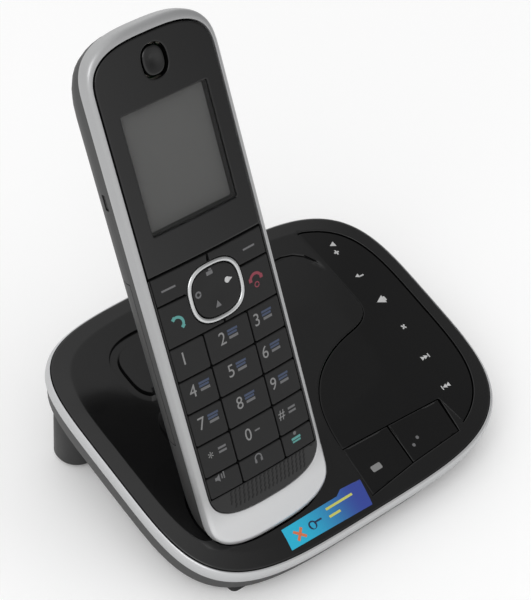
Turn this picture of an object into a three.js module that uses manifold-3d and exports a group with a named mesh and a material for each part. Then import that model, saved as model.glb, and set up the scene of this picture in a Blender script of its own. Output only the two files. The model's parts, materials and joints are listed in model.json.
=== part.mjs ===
// A cordless telephone handset standing in its charging base, as a scene of separate named pieces.
// Millimetres, +Z up, +X to the user's right, +Y to the back. The base stands on Z = 0 and the
// whole phone's box is centred on X = 0, Y = 0.
import * as THREE from 'three';
import { mergeVertices } from 'three/addons/utils/BufferGeometryUtils.js';
import Module from 'manifold-3d';

const wasm = await Module();
wasm.setup();

// ---------------------------------------------------------------- driving sizes
const GAP = 0.3;                 // between fixed pieces that meet
const KEY_GAP = 0.25;            // all round each key
const KEY_STROKE = 0.3;          // how far a key goes down

// base, in the tilted frame of its top: origin at the middle of the top's outline
const CASE_HALF_WIDTH = 67.2;    // half width of the black top
const CASE_HALF_DEPTH = 52.5;    // half depth of the black top
// exponents of the outline's superellipse at its corners: rear right, rear left, front left, front right
const CASE_SQUARENESS = [4.05, 5.4, 4.25, 3.65];
const CASE_TILT = 15;            // degrees, rear raised
const TOP_CROWN = 1.9;           // rise of the top from the bevel's inner line to its middle
const BEVEL_WIDTH = 5;           // sloping band round the top
const BEVEL_RISE = 1.0;
const TOP_WALL = 2.0;
const RIM_HEIGHT = 5.0;          // bright band under the top's edge
const RIM_OVERHANG = 1.6;        // how far the band stands out past the top
const LOWER_DEPTH = 8.0;         // lower case below the rim
const LOWER_WALL = 1.8;
const LOWER_TUCK = 1.6;          // how far the bottom is narrower than the top
const FRONT_CLEARANCE = 1.1;     // lower case's front edge above the desk
const LEG_WIDTH = 15;
const LEG_LENGTH = 15;
const LEG_ROUNDING = 7;
const LEG_OUTER_X = 63.5;
const LEG_REAR_Y = 43.5;
const PAD_THICKNESS = 1.4;

// handset, in its own frame: u across, v up its length, w out of its face
const SET_HALF_WIDTH = 23.3;
const SET_BOTTOM = 1.5;          // bottom edge above the frame's origin
const SET_LENGTH = 167.2;        // top edge above the frame's origin
const SET_THICKNESS = 22.0;
const SET_REACH_TOP = 17;        // length of the rounded top end
const SET_REACH_BOTTOM = 13;
const SET_END_SQUARENESS = 2.9;
const SET_LEAN = 48.5;           // degrees between the handset's length and the base's top
const SEAT = new THREE.Vector3(-34.7, -42.8, 0.77); // that frame's origin, on the base's top
const FACE_RADIUS = 330;         // crown across the face
const FRAME_LIP = 1.65;          // bright frame's width beside the face
const FRAME_DEPTH = 4.7;         // height of the frame's side
const FRAME_EDGE = 1.2;          // frame's front edge below the crown's top
const CHIN = 12.6;               // top of the bright chin below the face
const CROWN_TOP = 2.9;           // bright frame above the face
const REAR_WALL = 1.6;

// keypad
const COLUMN_LINE = 8.45;        // gap lines between the columns
const KEYS_HALF_WIDTH = 20.9;
const DIGIT_PITCH = 10.9;        // digit rows
const KEYS_BOTTOM = 21.4;
const BOTTOM_ROW = 7.4;
const TALK_ROW = 13.8;
const SOFT_ROW = 9.0;
const KEY_DEPTH = 3.0;           // key's underside below the crown's top
const NAV_HALF_WIDTH = 10.0;
const NAV_HALF_HEIGHT = 9.25;
const NAV_BAND = 1.25;           // bright ring's width
const NAV_SQUARENESS = 2.7;

// lens, display, earpiece
const LENS_THICKNESS = 2.6;
const WINDOW = { halfWidth: 15.7, bottom: 106.7, top: 144.0 };
const LCD_MARGIN = 1.6;
const LCD_DEPTH = 4.0;
const EARPIECE_V = 155.4;
const EARPIECE_HALF = [4.6, 5.3];
const EARPIECE_GAP = 0.8;

// power
const CELL_RADIUS = 5.25;
const CELL_LENGTH = 44.5;
const CELL_CLEARANCE = 0.15;      // between the cells and the battery door
const CELL_CENTRE_W = REAR_WALL + CELL_CLEARANCE + CELL_RADIUS - SET_THICKNESS;
const DOOR = { bottom: 39, top: 93, frontW: -9.5 };
const CONTACT_U = 8;             // charge contacts left and right of the middle
const CONTACT_WIDTH = 3.4;
const POCKET_CLEARANCE = 0.6;    // between handset and cradle
const POCKET_WALL = 1.6;

// controls on the base, in the frame of the top
const BASE_KEY_SINK = 0.3;        // top of the base keys below the surrounding surface
const BASE_KEY_DEPTH = 2.6;       // their underside below the surrounding surface
const PANEL_SINK = 0.5;          // touch panel below the surrounding surface
const PANEL_THICKNESS = 1.5;
const BACKREST_HEIGHT = 11;
const POD = { x: -30, y: 26.5, halfX: 15.3, halfY: 12.1, squareness: 3 }; // left end of the raised field's groove
const GROOVE_DEPTH = 1.2;
const GROOVE_WIDTH = 2.6;        // at the left end
const GROOVE_NARROW = 0.7;       // along the rear and the right
const GROOVE_RIGHT = [[24, 39], [31, 38.8], [35, 37.6], [37.8, 35.3], [39.6, 31.8], [40.6, 27.6]];

// ---------------------------------------------------------------- solids
const degrees = THREE.MathUtils.degToRad;

function solidOf(geometry, matrix) {
  const plain = geometry.clone();
  if (matrix) plain.applyMatrix4(matrix);
  plain.deleteAttribute('normal');
  plain.deleteAttribute('uv');
  const merged = mergeVertices(plain, 1e-5);
  const index = merged.index.array;
  const triangles = [];
  for (let i = 0; i < index.length; i += 3) {
    const [a, b, c] = [index[i], index[i + 1], index[i + 2]];
    if (a !== b && b !== c && c !== a) triangles.push(a, b, c);
  }
  return new wasm.Manifold(new wasm.Mesh({
    numProp: 3,
    vertProperties: new Float32Array(merged.attributes.position.array),
    triVerts: new Uint32Array(triangles),
  }));
}

function geometryOf(solid) {
  const mesh = solid.getMesh();
  const geometry = new THREE.BufferGeometry();
  const positions = new Float32Array(mesh.numVert * 3);
  for (let i = 0; i < mesh.numVert; i += 1) {
    for (let k = 0; k < 3; k += 1) positions[i * 3 + k] = mesh.vertProperties[i * mesh.numProp + k];
  }
  geometry.setAttribute('position', new THREE.BufferAttribute(positions, 3));
  geometry.setIndex(new THREE.BufferAttribute(new Uint32Array(mesh.triVerts), 1));
  geometry.computeVertexNormals();
  return geometry;
}

// A closed solid through rings of [x, y, z] points, all with the same count, capped flat at both ends.
// The rings run anticlockwise seen from the last ring's side.
function loft(rings) {
  const count = rings[0].length;
  const positions = rings.flat(2);
  const indices = [];
  for (let r = 0; r + 1 < rings.length; r += 1) {
    for (let i = 0; i < count; i += 1) {
      const next = (i + 1) % count;
      const [a, b] = [r * count + i, r * count + next];
      const [c, d] = [a + count, b + count];
      indices.push(a, b, d, a, d, c);
    }
  }
  for (const [ring, flip] of [[0, true], [rings.length - 1, false]]) {
    const middle = [0, 1, 2].map((k) => rings[ring].reduce((sum, p) => sum + p[k], 0) / count);
    const centre = positions.length / 3;
    positions.push(...middle);
    for (let i = 0; i < count; i += 1) {
      const [a, b] = [ring * count + i, ring * count + ((i + 1) % count)];
      if (flip) indices.push(centre, b, a);
      else indices.push(centre, a, b);
    }
  }
  const geometry = new THREE.BufferGeometry();
  geometry.setAttribute('position', new THREE.Float32BufferAttribute(positions, 3));
  geometry.setIndex(indices);
  return solidOf(geometry);
}

// A prism over a THREE.Shape or a list of [x, y] points, between two heights.
function prism(outline, low, high, divisions = 4) {
  const shape = outline instanceof THREE.Shape
    ? outline
    : new THREE.Shape(outline.map(([x, y]) => new THREE.Vector2(x, y)));
  const geometry = new THREE.ExtrudeGeometry(shape, {
    depth: high - low, bevelEnabled: false, curveSegments: divisions,
  });
  geometry.translate(0, 0, low);
  return solidOf(geometry);
}

function block(x0, x1, y0, y1, z0, z1) {
  const geometry = new THREE.BoxGeometry(x1 - x0, y1 - y0, z1 - z0);
  geometry.translate((x0 + x1) / 2, (y0 + y1) / 2, (z0 + z1) / 2);
  return solidOf(geometry);
}

// A round bar between two points.
function bar(from, to, radius, sides = 20) {
  const start = new THREE.Vector3(...from);
  const end = new THREE.Vector3(...to);
  const axis = end.clone().sub(start);
  const geometry = new THREE.CylinderGeometry(radius, radius, axis.length(), sides);
  const turn = new THREE.Quaternion().setFromUnitVectors(new THREE.Vector3(0, 1, 0), axis.clone().normalize());
  geometry.applyQuaternion(turn);
  geometry.translate(...start.add(end).multiplyScalar(0.5).toArray());
  return solidOf(geometry);
}

// ---------------------------------------------------------------- outlines
const bend = (value, power) => Math.sign(value) * Math.abs(value) ** (2 / power);
// A closed outline; powers is one exponent, or one for each quarter from +X, +Y round.
function superellipse(halfX, halfY, powers, count, centre = [0, 0]) {
  return Array.from({ length: count }, (_, i) => {
    const angle = (2 * Math.PI * i) / count;
    const power = Array.isArray(powers) ? powers[Math.floor((4 * i) / count)] : powers;
    return [
      centre[0] + halfX * bend(Math.cos(angle), power),
      centre[1] + halfY * bend(Math.sin(angle), power),
    ];
  });
}

function roundedRect(x0, x1, y0, y1, radius) {
  const shape = new THREE.Shape();
  shape.moveTo(x1, y0 + radius);
  shape.lineTo(x1, y1 - radius);
  shape.absarc(x1 - radius, y1 - radius, radius, 0, Math.PI / 2, false);
  shape.lineTo(x0 + radius, y1);
  shape.absarc(x0 + radius, y1 - radius, radius, Math.PI / 2, Math.PI, false);
  shape.lineTo(x0, y0 + radius);
  shape.absarc(x0 + radius, y0 + radius, radius, Math.PI, 1.5 * Math.PI, false);
  shape.lineTo(x1 - radius, y0);
  shape.absarc(x1 - radius, y0 + radius, radius, 1.5 * Math.PI, 2 * Math.PI, false);
  return shape;
}

// The handset's outline: straight sides between two rounded ends, each end half a superellipse of
// a given reach along the handset.
const END_POINTS = 20;
function setOutline({ halfWidth, bottom, top, lowReach, highReach }) {
  const point = (angle, reach, edge) => [
    halfWidth * bend(Math.cos(angle), SET_END_SQUARENESS),
    edge + reach * bend(Math.sin(angle), SET_END_SQUARENESS),
  ];
  const points = [];
  for (let i = 0; i <= END_POINTS; i += 1) {
    points.push(point((Math.PI * i) / END_POINTS, highReach, top - highReach));
  }
  for (let i = 0; i <= END_POINTS; i += 1) {
    points.push(point(Math.PI + (Math.PI * i) / END_POINTS, lowReach, bottom + lowReach));
  }
  return points;
}

// The same outline, drawn in from the handset's edge.
function insetSet(inset, ends = [inset, inset]) {
  return setOutline({
    halfWidth: SET_HALF_WIDTH - inset,
    bottom: SET_BOTTOM + ends[0],
    top: SET_LENGTH - ends[1],
    lowReach: SET_REACH_BOTTOM - 0.6 * inset,
    highReach: SET_REACH_TOP - 0.6 * inset,
  });
}

const ringAt = (points, height) => points.map(([x, y]) => [x, y, height]);
function shapeRing(shape, height, divisions = 3) {
  return ringAt(shape.getPoints(divisions).slice(0, -1).map((p) => [p.x, p.y]), height);
}

// An anticlockwise outline drawn in by a distance, each corner moved along its mitre.
function drawIn(points, distance) {
  const count = points.length;
  return points.map((point, i) => {
    const before = points[(i + count - 1) % count];
    const after = points[(i + 1) % count];
    const normals = [[before, point], [point, after]].map(([from, to]) => {
      const [dx, dy] = [to[0] - from[0], to[1] - from[1]];
      const length = Math.hypot(dx, dy);
      return [-dy / length, dx / length];
    });
    const sum = [normals[0][0] + normals[1][0], normals[0][1] + normals[1][1]];
    const scale = (2 * distance) / (sum[0] ** 2 + sum[1] ** 2);
    return [point[0] + sum[0] * scale, point[1] + sum[1] * scale];
  });
}

// ---------------------------------------------------------------- handset bodies
// The solid under the crowned face, its crown's top at the given height.
function underCrown(height) {
  const shape = new THREE.Shape();
  const reach = SET_HALF_WIDTH + 4;
  const steps = 12;
  shape.moveTo(-reach, -2 * SET_THICKNESS);
  shape.lineTo(reach, -2 * SET_THICKNESS);
  for (let i = 0; i <= steps; i += 1) {
    const u = reach - (2 * reach * i) / steps;
    shape.lineTo(u, height - (u * u) / (2 * FACE_RADIUS));
  }
  const geometry = new THREE.ExtrudeGeometry(shape, { depth: SET_LENGTH + 20, bevelEnabled: false });
  geometry.rotateX(Math.PI / 2);
  geometry.translate(0, SET_LENGTH + 10, 0);
  return solidOf(geometry);
}

const FRAME_LOW = -FRAME_EDGE - FRAME_DEPTH;
const REAR_TOP = FRAME_LOW - GAP;

// Rings of the rear shell's outside: depth below the seam as a share, inset at the sides, at the
// bottom end and at the top end.
const REAR_RINGS = [
  [0.00, 0.5, 0.5, 0.5],
  [0.20, 0.8, 1.2, 1.5],
  [0.35, 1.2, 2.1, 2.9],
  [0.48, 1.8, 3.6, 5.0],
  [0.62, 2.7, 5.7, 8.1],
  [0.74, 4.0, 8.5, 12.0],
  [0.83, 5.4, 11.3, 16.4],
  [0.90, 6.8, 14.0, 21.0],
  [0.96, 8.5, 17.5, 27.0],
  [1.00, 10.5, 22.0, 35.0],
];

function rearSolid(offset, top = REAR_TOP) {
  const depth = SET_THICKNESS + REAR_TOP;
  const rings = REAR_RINGS.map(([share, side, low, high]) => ringAt(
    insetSet(side - offset, [low - offset, high - offset]),
    REAR_TOP - share * (depth + offset),
  ));
  if (top !== REAR_TOP) rings.unshift(ringAt(insetSet(0.5 - offset), top));
  return loft(rings.reverse());
}

function frontSolid(offset, top) {
  return loft([
    ringAt(insetSet(0.3 - offset), REAR_TOP - 0.1),
    ringAt(insetSet(-offset), FRAME_LOW + 1.4),
    ringAt(insetSet(-offset), -FRAME_EDGE - 1.2),
    ringAt(insetSet(0.6 - offset), top),
  ]);
}

// The room the whole handset takes, grown by a clearance, in the frame of the base's top.
const handsetMatrix = new THREE.Matrix4().makeRotationX(degrees(SET_LEAN)).setPosition(SEAT);
function toDeck(solid) {
  return solid.transform(handsetMatrix.toArray());
}

function handsetRoom(clearance) {
  const front = frontSolid(clearance, clearance);
  return toDeck(front.add(rearSolid(clearance)));
}

// The dark face inside the bright frame.
function faceOutline(inset) {
  return setOutline({
    halfWidth: SET_HALF_WIDTH - FRAME_LIP - inset,
    bottom: CHIN + inset,
    top: SET_LENGTH - CROWN_TOP - inset,
    lowReach: SET_REACH_BOTTOM - FRAME_LIP - inset,
    highReach: SET_REACH_TOP - 2 * FRAME_LIP - inset,
  });
}

const ROW_TOP = {
  bottom: KEYS_BOTTOM + BOTTOM_ROW,
  digits: KEYS_BOTTOM + BOTTOM_ROW + 4 * DIGIT_PITCH,
};
ROW_TOP.talk = ROW_TOP.digits + TALK_ROW;
ROW_TOP.soft = ROW_TOP.talk + SOFT_ROW;
const LENS_BOTTOM = ROW_TOP.soft + KEY_GAP;
const NAV_CENTRE = ROW_TOP.talk - 3.1;
const LENS_SEAT = -LENS_THICKNESS - GAP;
const COVER_LOW = LENS_SEAT - 1.5;
const MAT_TOP = -KEY_DEPTH - KEY_STROKE - GAP;
const BOARD_TOP = -LENS_THICKNESS - 2 * GAP - LCD_DEPTH - GAP;
const BOARD_LOW = BOARD_TOP - 1.2;

function buildFrame() {
  const outer = frontSolid(0, 0).intersect(underCrown(0.1));
  const body = outer.intersect(block(-40, 40, -10, SET_LENGTH + 10, FRAME_LOW, 10));
  const opening = prism(faceOutline(0), FRAME_LOW - 1, 5);
  const chinHollow = prism(roundedRect(-15, 15, SET_BOTTOM + 2.2, CHIN - 2.2, 2), FRAME_LOW - 1, -3.4, 3);
  return body.subtract(opening).subtract(chinHollow);
}

function lensArea(inset, low, high) {
  return prism(faceOutline(inset), low, high)
    .intersect(block(-40, 40, LENS_BOTTOM + inset - GAP, SET_LENGTH, low - 1, high + 1));
}

function buildFrontCover() {
  const plate = prism(faceOutline(GAP), COVER_LOW, 5).intersect(underCrown(0));
  const lensPocket = lensArea(0.01, LENS_SEAT, 6);
  const keypad = block(-KEYS_HALF_WIDTH, KEYS_HALF_WIDTH, KEYS_BOTTOM, ROW_TOP.soft, -20, 10);
  const reach = LCD_MARGIN + GAP;
  const window = block(
    -WINDOW.halfWidth - reach, WINDOW.halfWidth + reach, WINDOW.bottom - reach, WINDOW.top + reach, -20, 10,
  );
  const sound = bar([0, EARPIECE_V, -20], [0, EARPIECE_V, 10], 2.2, 16);
  const talkHole = bar([3, 17.2, -20], [3, 17.2, 10], 0.7, 10);
  return plate.subtract(lensPocket).subtract(keypad).subtract(window).subtract(sound).subtract(talkHole);
}

function buildLens() {
  const plate = lensArea(2 * GAP, -LENS_THICKNESS, 5).intersect(underCrown(0));
  const hole = prism(
    superellipse(...EARPIECE_HALF, 2.4, 28, [0, EARPIECE_V]), -LENS_THICKNESS - 1, 5,
  );
  return plate.subtract(hole);
}

function buildEarpieceInsert() {
  const [halfU, halfV] = EARPIECE_HALF.map((half) => half - EARPIECE_GAP);
  const plug = prism(superellipse(halfU, halfV, 2.4, 28, [0, EARPIECE_V]), -LENS_THICKNESS, 5)
    .intersect(underCrown(-0.5));
  return plug.subtract(bar([0, EARPIECE_V, -20], [0, EARPIECE_V, -1.4], 1.8, 14));
}

function buildLcd() {
  const top = LENS_SEAT - GAP;
  return block(
    -WINDOW.halfWidth - LCD_MARGIN, WINDOW.halfWidth + LCD_MARGIN,
    WINDOW.bottom - LCD_MARGIN, WINDOW.top + LCD_MARGIN, top - LCD_DEPTH, top,
  );
}

// Keys: every cap stands on the face's crown and is cut away round the navigation ring.
const navOuter = (grow) => superellipse(
  NAV_HALF_WIDTH + grow, NAV_HALF_HEIGHT + grow, NAV_SQUARENESS, 36, [0, NAV_CENTRE],
);

function keyCap(u0, u1, v0, v1, radius = 0.6) {
  const shape = roundedRect(u0 + KEY_GAP, u1 - KEY_GAP, v0 + KEY_GAP, v1 - KEY_GAP, radius);
  return prism(shape, -KEY_DEPTH, 5, 2).intersect(underCrown(0.05));
}

function buildNavRing() {
  return prism(navOuter(0), -KEY_DEPTH, 5)
    .intersect(underCrown(0.35))
    .subtract(prism(navOuter(-NAV_BAND), -KEY_DEPTH - 1, 6));
}

function buildNavKey() {
  const disc = prism(navOuter(-NAV_BAND - 0.35), -1.9, 5).intersect(underCrown(0.15));
  return disc;
}

function buildNavActuator() {
  return bar([0, NAV_CENTRE, -3.2], [0, NAV_CENTRE, -2.2], 4.6, 20)
    .add(bar([0, NAV_CENTRE, -3.35], [0, NAV_CENTRE, -3.0], 1.6, 12));
}

function buildMat() {
  const edge = KEYS_HALF_WIDTH - GAP;
  const low = KEYS_BOTTOM + GAP;
  const high = ROW_TOP.soft - GAP;
  const plate = block(-edge, edge, low, high, BOARD_TOP + GAP, MAT_TOP);
  const hollow = block(-edge + 1.2, edge - 1.2, low + 1.2, high - 1.2, BOARD_TOP, MAT_TOP - 1.2);
  return plate.subtract(hollow);
}

function buildBoard() {
  const outline = roundedRect(-18.5, 18.5, 15, 160, 5);
  return prism(outline, BOARD_LOW, BOARD_TOP, 3);
}

function buildRearShell() {
  const outside = rearSolid(0);
  const inside = rearSolid(-REAR_WALL, REAR_TOP + 1);
  return outside.subtract(inside);
}

const doorBay = (gap) => block(-40, 40, DOOR.bottom + gap, DOOR.top - gap, -40, DOOR.frontW - gap);
const rearShell = buildRearShell();

function contactSlot(side, gap) {
  const u = side * CONTACT_U;
  const half = CONTACT_WIDTH / 2 + gap;
  return block(u - half, u + half, SET_BOTTOM - 2, SET_BOTTOM + 4.5 + gap, -13.2 - gap, -9.4 + gap);
}

function buildRearCover() {
  const jackSlot = block(-SET_HALF_WIDTH - 1, -18, 116.5, 121.5, -11.5, -9.3);
  const speakerHole = bar([0, 118, -30], [0, 118, -14], 3.5, 16);
  let cover = rearShell.subtract(doorBay(0)).subtract(speakerHole).subtract(jackSlot);
  for (const side of [-1, 1]) cover = cover.subtract(contactSlot(side, GAP));
  return cover;
}

function buildChargeContact(side) {
  return contactSlot(side, 0).intersect(rearSolid(0)).subtract(rearSolid(-1.0));
}

function buildJackCover() {
  return block(-SET_HALF_WIDTH + 0.9, -18.9, 116.8, 121.2, -11.2, -9.6).intersect(rearSolid(-0.3));
}

function buildCell(side) {
  const u = side * (CELL_RADIUS + 0.4);
  const low = DOOR.bottom + 5;
  const nub = side > 0 ? [low + CELL_LENGTH - 0.8, low + CELL_LENGTH] : [low, low + 0.8];
  const can = side > 0 ? [low, low + CELL_LENGTH - 0.8] : [low + 0.8, low + CELL_LENGTH];
  return bar([u, can[0], CELL_CENTRE_W], [u, can[1], CELL_CENTRE_W], CELL_RADIUS, 24)
    .add(bar([u, nub[0] - 0.1, CELL_CENTRE_W], [u, nub[1] + 0.1, CELL_CENTRE_W], 1.9, 14));
}

// The cells lie in a tray that hangs under the circuit board.
function buildBatteryTray() {
  const half = 2 * CELL_RADIUS + 2.4;
  const low = DOOR.bottom + 2.6;
  const high = DOOR.bottom + 5 + CELL_LENGTH + 2.4;
  const tray = block(-half, half, low, high, -17, BOARD_LOW - GAP);
  const room = block(-half + 1.2, half - 1.2, low + 1.2, high - 1.2, -18, CELL_CENTRE_W + CELL_RADIUS + 0.4);
  return tray.subtract(room);
}

// ---------------------------------------------------------------- base bodies
const OUTLINE_POINTS = 88;
function caseRing(grow, z, shift = 0) {
  const points = superellipse(
    CASE_HALF_WIDTH + grow, CASE_HALF_DEPTH + grow, CASE_SQUARENESS, OUTLINE_POINTS, [0, shift],
  );
  return points.map(([x, y]) => [x, y, z]);
}

const SKIRT_LOW = -RIM_HEIGHT - 0.2;
// The solid under the base's crowned top, sunk by a depth and drawn in at its side.
function underTop(sink, inset = 0) {
  const low = SKIRT_LOW - 20;
  return loft([
    caseRing(-inset, low),
    caseRing(-inset, -0.5 - sink),
    caseRing(-inset - 0.6, -sink),
    caseRing(-BEVEL_WIDTH, BEVEL_RISE - sink),
    caseRing(-BEVEL_WIDTH - 12, BEVEL_RISE + 0.5 * TOP_CROWN - sink),
    caseRing(-BEVEL_WIDTH - 28, BEVEL_RISE + TOP_CROWN - sink),
  ]);
}

// A layer of the top between two depths, inside an outline.
function topLayer(outline, sink, deep) {
  return underTop(sink).intersect(prism(outline, -20, 20)).subtract(underTop(deep));
}

// Control area: strip along the right side and the field in front of it, bounded on the left by
// the raised part that carries the handset.
const STRIP_X = 42.2;
const PANEL_FRONT = -32.4;
function panelOutline() {
  const outer = superellipse(
    CASE_HALF_WIDTH - BEVEL_WIDTH, CASE_HALF_DEPTH - BEVEL_WIDTH, CASE_SQUARENESS, 48,
  );
  const right = outer.filter(([x]) => x > STRIP_X + 1).sort((a, b) => a[1] - b[1]);
  const edge = new THREE.Path();
  edge.moveTo(STRIP_X, right.at(-1)[1] + 0.3);
  edge.lineTo(STRIP_X, 12);
  edge.bezierCurveTo(STRIP_X, 6.5, 38.5, 4.2, 32, 3.2);
  edge.bezierCurveTo(16, 0.7, 0.8, -8, 0.3, -30.8);
  edge.lineTo(STRIP_X - 0.5, PANEL_FRONT);
  return [...edge.getPoints(6).map((p) => [p.x, p.y]), ...right];
}
const PANEL = panelOutline();
const LOCATOR = [[0.1, -30.6], [-1.1, -48.6], [18.5, -46.4], [19.2, -31.3]];
const ANSWER = [[19.2, -31.3], [18.5, -46.4], [40.2, -45.2], [STRIP_X - 0.8, PANEL_FRONT + 0.2]];

// The groove round the back of the raised field, as the outline of a line that narrows.
function grooveOutline() {
  const steps = 14;
  const path = [];
  for (let i = 0; i <= steps; i += 1) {
    const angle = Math.PI * (1.27 - (0.77 * i) / steps);
    path.push([
      POD.x + POD.halfX * bend(Math.cos(angle), POD.squareness),
      POD.y + POD.halfY * bend(Math.sin(angle), POD.squareness),
      GROOVE_WIDTH,
    ]);
  }
  GROOVE_RIGHT.forEach(([x, y]) => path.push([x, y, GROOVE_NARROW]));
  const side = (sign) => path.map(([x, y, width], i) => {
    const from = path[Math.max(i - 1, 0)];
    const to = path[Math.min(i + 1, path.length - 1)];
    const [dx, dy] = [to[0] - from[0], to[1] - from[1]];
    const half = (sign * width) / 2 / Math.hypot(dx, dy);
    return [x - dy * half, y + dx * half];
  });
  return [...side(-1), ...side(1).reverse()];
}

function buildTopCover() {
  const skin = underTop(0)
    .intersect(block(-100, 100, -100, 100, SKIRT_LOW, 50))
    .subtract(underTop(TOP_WALL, TOP_WALL));
  const backrest = loft([
    shapeRing(roundedRect(-46, -23, -22, 12, 5), 0),
    shapeRing(roundedRect(-45.5, -23.5, -22, 10.5, 5), BACKREST_HEIGHT * 0.5),
    shapeRing(roundedRect(-44.5, -24.5, -22, 7, 4), BACKREST_HEIGHT * 0.85),
    shapeRing(roundedRect(-42.5, -26.5, -22, 2, 3), BACKREST_HEIGHT),
  ]);
  let cover = skin.add(backrest.subtract(underTop(TOP_WALL * 0.5)));
  cover = cover.subtract(handsetRoom(POCKET_CLEARANCE));
  cover = cover.subtract(prism(PANEL, -20, 20));
  cover = cover.subtract(prism(grooveOutline(), -20, 20).subtract(underTop(GROOVE_DEPTH)));
  const keysOpening = [...LOCATOR.slice(0, 3), ...ANSWER.slice(2), LOCATOR[3]];
  cover = cover.subtract(prism(keysOpening, -20, 20));
  return cover;
}

function buildCradle() {
  const clip = block(-100, 100, -100, 100, -30, -TOP_WALL - GAP - 0.5);
  const cup = handsetRoom(POCKET_CLEARANCE + POCKET_WALL).intersect(clip)
    .subtract(handsetRoom(POCKET_CLEARANCE));
  let cradle = cup;
  for (const side of [-1, 1]) cradle = cradle.subtract(toDeck(springSlot(side)));
  return cradle;
}

function springSlot(side) {
  const u = side * CONTACT_U;
  const half = CONTACT_WIDTH / 2 + GAP;
  return block(u - half, u + half, -8, SET_BOTTOM + 3, -12.6, -9.6);
}

function buildChargeSpring(side) {
  const u = side * CONTACT_U;
  const half = CONTACT_WIDTH / 2 - 0.4;
  return toDeck(block(u - half, u + half, SET_BOTTOM - 3.6, SET_BOTTOM + 1.1, -12.0, -10.2));
}

function buildRim() {
  const shift = -0.3;
  const over = RIM_OVERHANG - 0.3;
  const outside = loft([
    caseRing(over - 0.5, -RIM_HEIGHT, shift),
    caseRing(over, -RIM_HEIGHT + 1.2, shift),
    caseRing(over, -1.8, shift),
    caseRing(over - 0.7, -0.35, shift),
  ]);
  return outside.subtract(loft([caseRing(GAP, -RIM_HEIGHT - 5), caseRing(GAP, 5)]));
}

const LOWER_TOP = -RIM_HEIGHT - GAP;
const LOWER_BOTTOM = LOWER_TOP - LOWER_DEPTH;
function lowerRings(inset, bottom) {
  return [
    caseRing(-LOWER_TUCK - inset, bottom),
    caseRing(-LOWER_TUCK * 0.3 - inset, bottom + 0.8),
    caseRing(-LOWER_TUCK * 0.05 - inset, bottom + 3.4),
    caseRing(0.4 - inset, LOWER_TOP),
  ];
}

const LINE_JACK = { x: -14, y: 37, width: 12, depth: 10, height: 9 };
const POWER_JACK = { x: 12, y: 37, width: 9, depth: 9, height: 8 };
function jackBlock(jack, grow, low, high) {
  return block(
    jack.x - jack.width / 2 - grow, jack.x + jack.width / 2 + grow,
    jack.y - jack.depth / 2 - grow, jack.y + jack.depth / 2 + grow, low, high,
  );
}

const SCREW_SPOTS = [[-56, 4], [57, 4]];
function buildLowerCase() {
  const outside = loft(lowerRings(0, LOWER_BOTTOM));
  const inner = lowerRings(LOWER_WALL, LOWER_BOTTOM + LOWER_WALL);
  inner.push(caseRing(0.4 - LOWER_WALL, LOWER_TOP + 5));
  let shell = outside.subtract(loft(inner));
  for (const jack of [LINE_JACK, POWER_JACK]) {
    shell = shell.subtract(jackBlock(jack, GAP, LOWER_BOTTOM - 1, LOWER_BOTTOM + 4));
  }
  for (const [x, y] of SCREW_SPOTS) {
    shell = shell.subtract(bar([x, y, LOWER_BOTTOM - 1], [x, y, LOWER_BOTTOM + 4], 1.9, 14));
  }
  return shell;
}

function buildScrew([x, y]) {
  const head = bar([x, y, LOWER_BOTTOM + 0.4], [x, y, LOWER_BOTTOM + LOWER_WALL - 0.1], 1.6, 14);
  const shank = bar([x, y, LOWER_BOTTOM + 1], [x, y, LOWER_BOTTOM + 8.5], 1.1, 12);
  return head.add(shank);
}

function buildLineJack() {
  const low = LOWER_BOTTOM + 0.2;
  const body = jackBlock(LINE_JACK, 0, low, low + LINE_JACK.height);
  const { x, y } = LINE_JACK;
  return body.subtract(block(x - 4.9, x + 4.9, y - 3.4, y + 3.4, low - 1, low + 7.5));
}

function buildPowerJack() {
  const low = LOWER_BOTTOM + 0.2;
  const { x, y, height } = POWER_JACK;
  return jackBlock(POWER_JACK, 0, low, low + height)
    .subtract(bar([x, y, low - 1], [x, y, low + 6.5], 2.8, 20))
    .add(bar([x, y, low + 0.6], [x, y, low + 7], 0.9, 12));
}

const BASE_BOARD_LOW = LOWER_BOTTOM + LOWER_WALL + GAP + 0.4;
function buildBaseBoard() {
  return prism(roundedRect(-6, 52, -37, 6, 5), BASE_BOARD_LOW, BASE_BOARD_LOW + 1.4, 3);
}

function buildBaseSpeaker() {
  const low = LOWER_BOTTOM + LOWER_WALL + GAP;
  return bar([44, 26, low], [44, 26, low + 5], 11, 28)
    .add(bar([44, 26, low + 5], [44, 26, low + 8], 14, 28));
}

// ---------------------------------------------------------------- pieces that stand on the desk
const deckTurn = new THREE.Matrix4().makeRotationX(degrees(CASE_TILT));
const deckHeight = FRONT_CLEARANCE
  + (CASE_HALF_DEPTH - LOWER_TUCK * 0.5) * Math.sin(degrees(CASE_TILT))
  - LOWER_BOTTOM * Math.cos(degrees(CASE_TILT));
const deckMatrix = deckTurn.clone().setPosition(0, 0, deckHeight);
const toDesk = (solid) => solid.transform(deckMatrix.toArray());

// Everything above the lower case's underside, less a gap, as a slab to trim the feet with.
const aboveCase = toDesk(block(-200, 200, -200, 200, LOWER_BOTTOM - GAP, 200));

function sideProfile(points, x0, x1) {
  const shape = points instanceof THREE.Shape ? points : new THREE.Shape(points);
  const geometry = new THREE.ExtrudeGeometry(shape, { depth: x1 - x0, bevelEnabled: false, curveSegments: 4 });
  // the profile's x and y become the piece's Y and Z, its depth becomes X
  geometry.applyMatrix4(new THREE.Matrix4().makeBasis(
    new THREE.Vector3(0, 1, 0), new THREE.Vector3(0, 0, 1), new THREE.Vector3(1, 0, 0),
  ));
  geometry.translate(x0, 0, 0);
  return solidOf(geometry);
}

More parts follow.
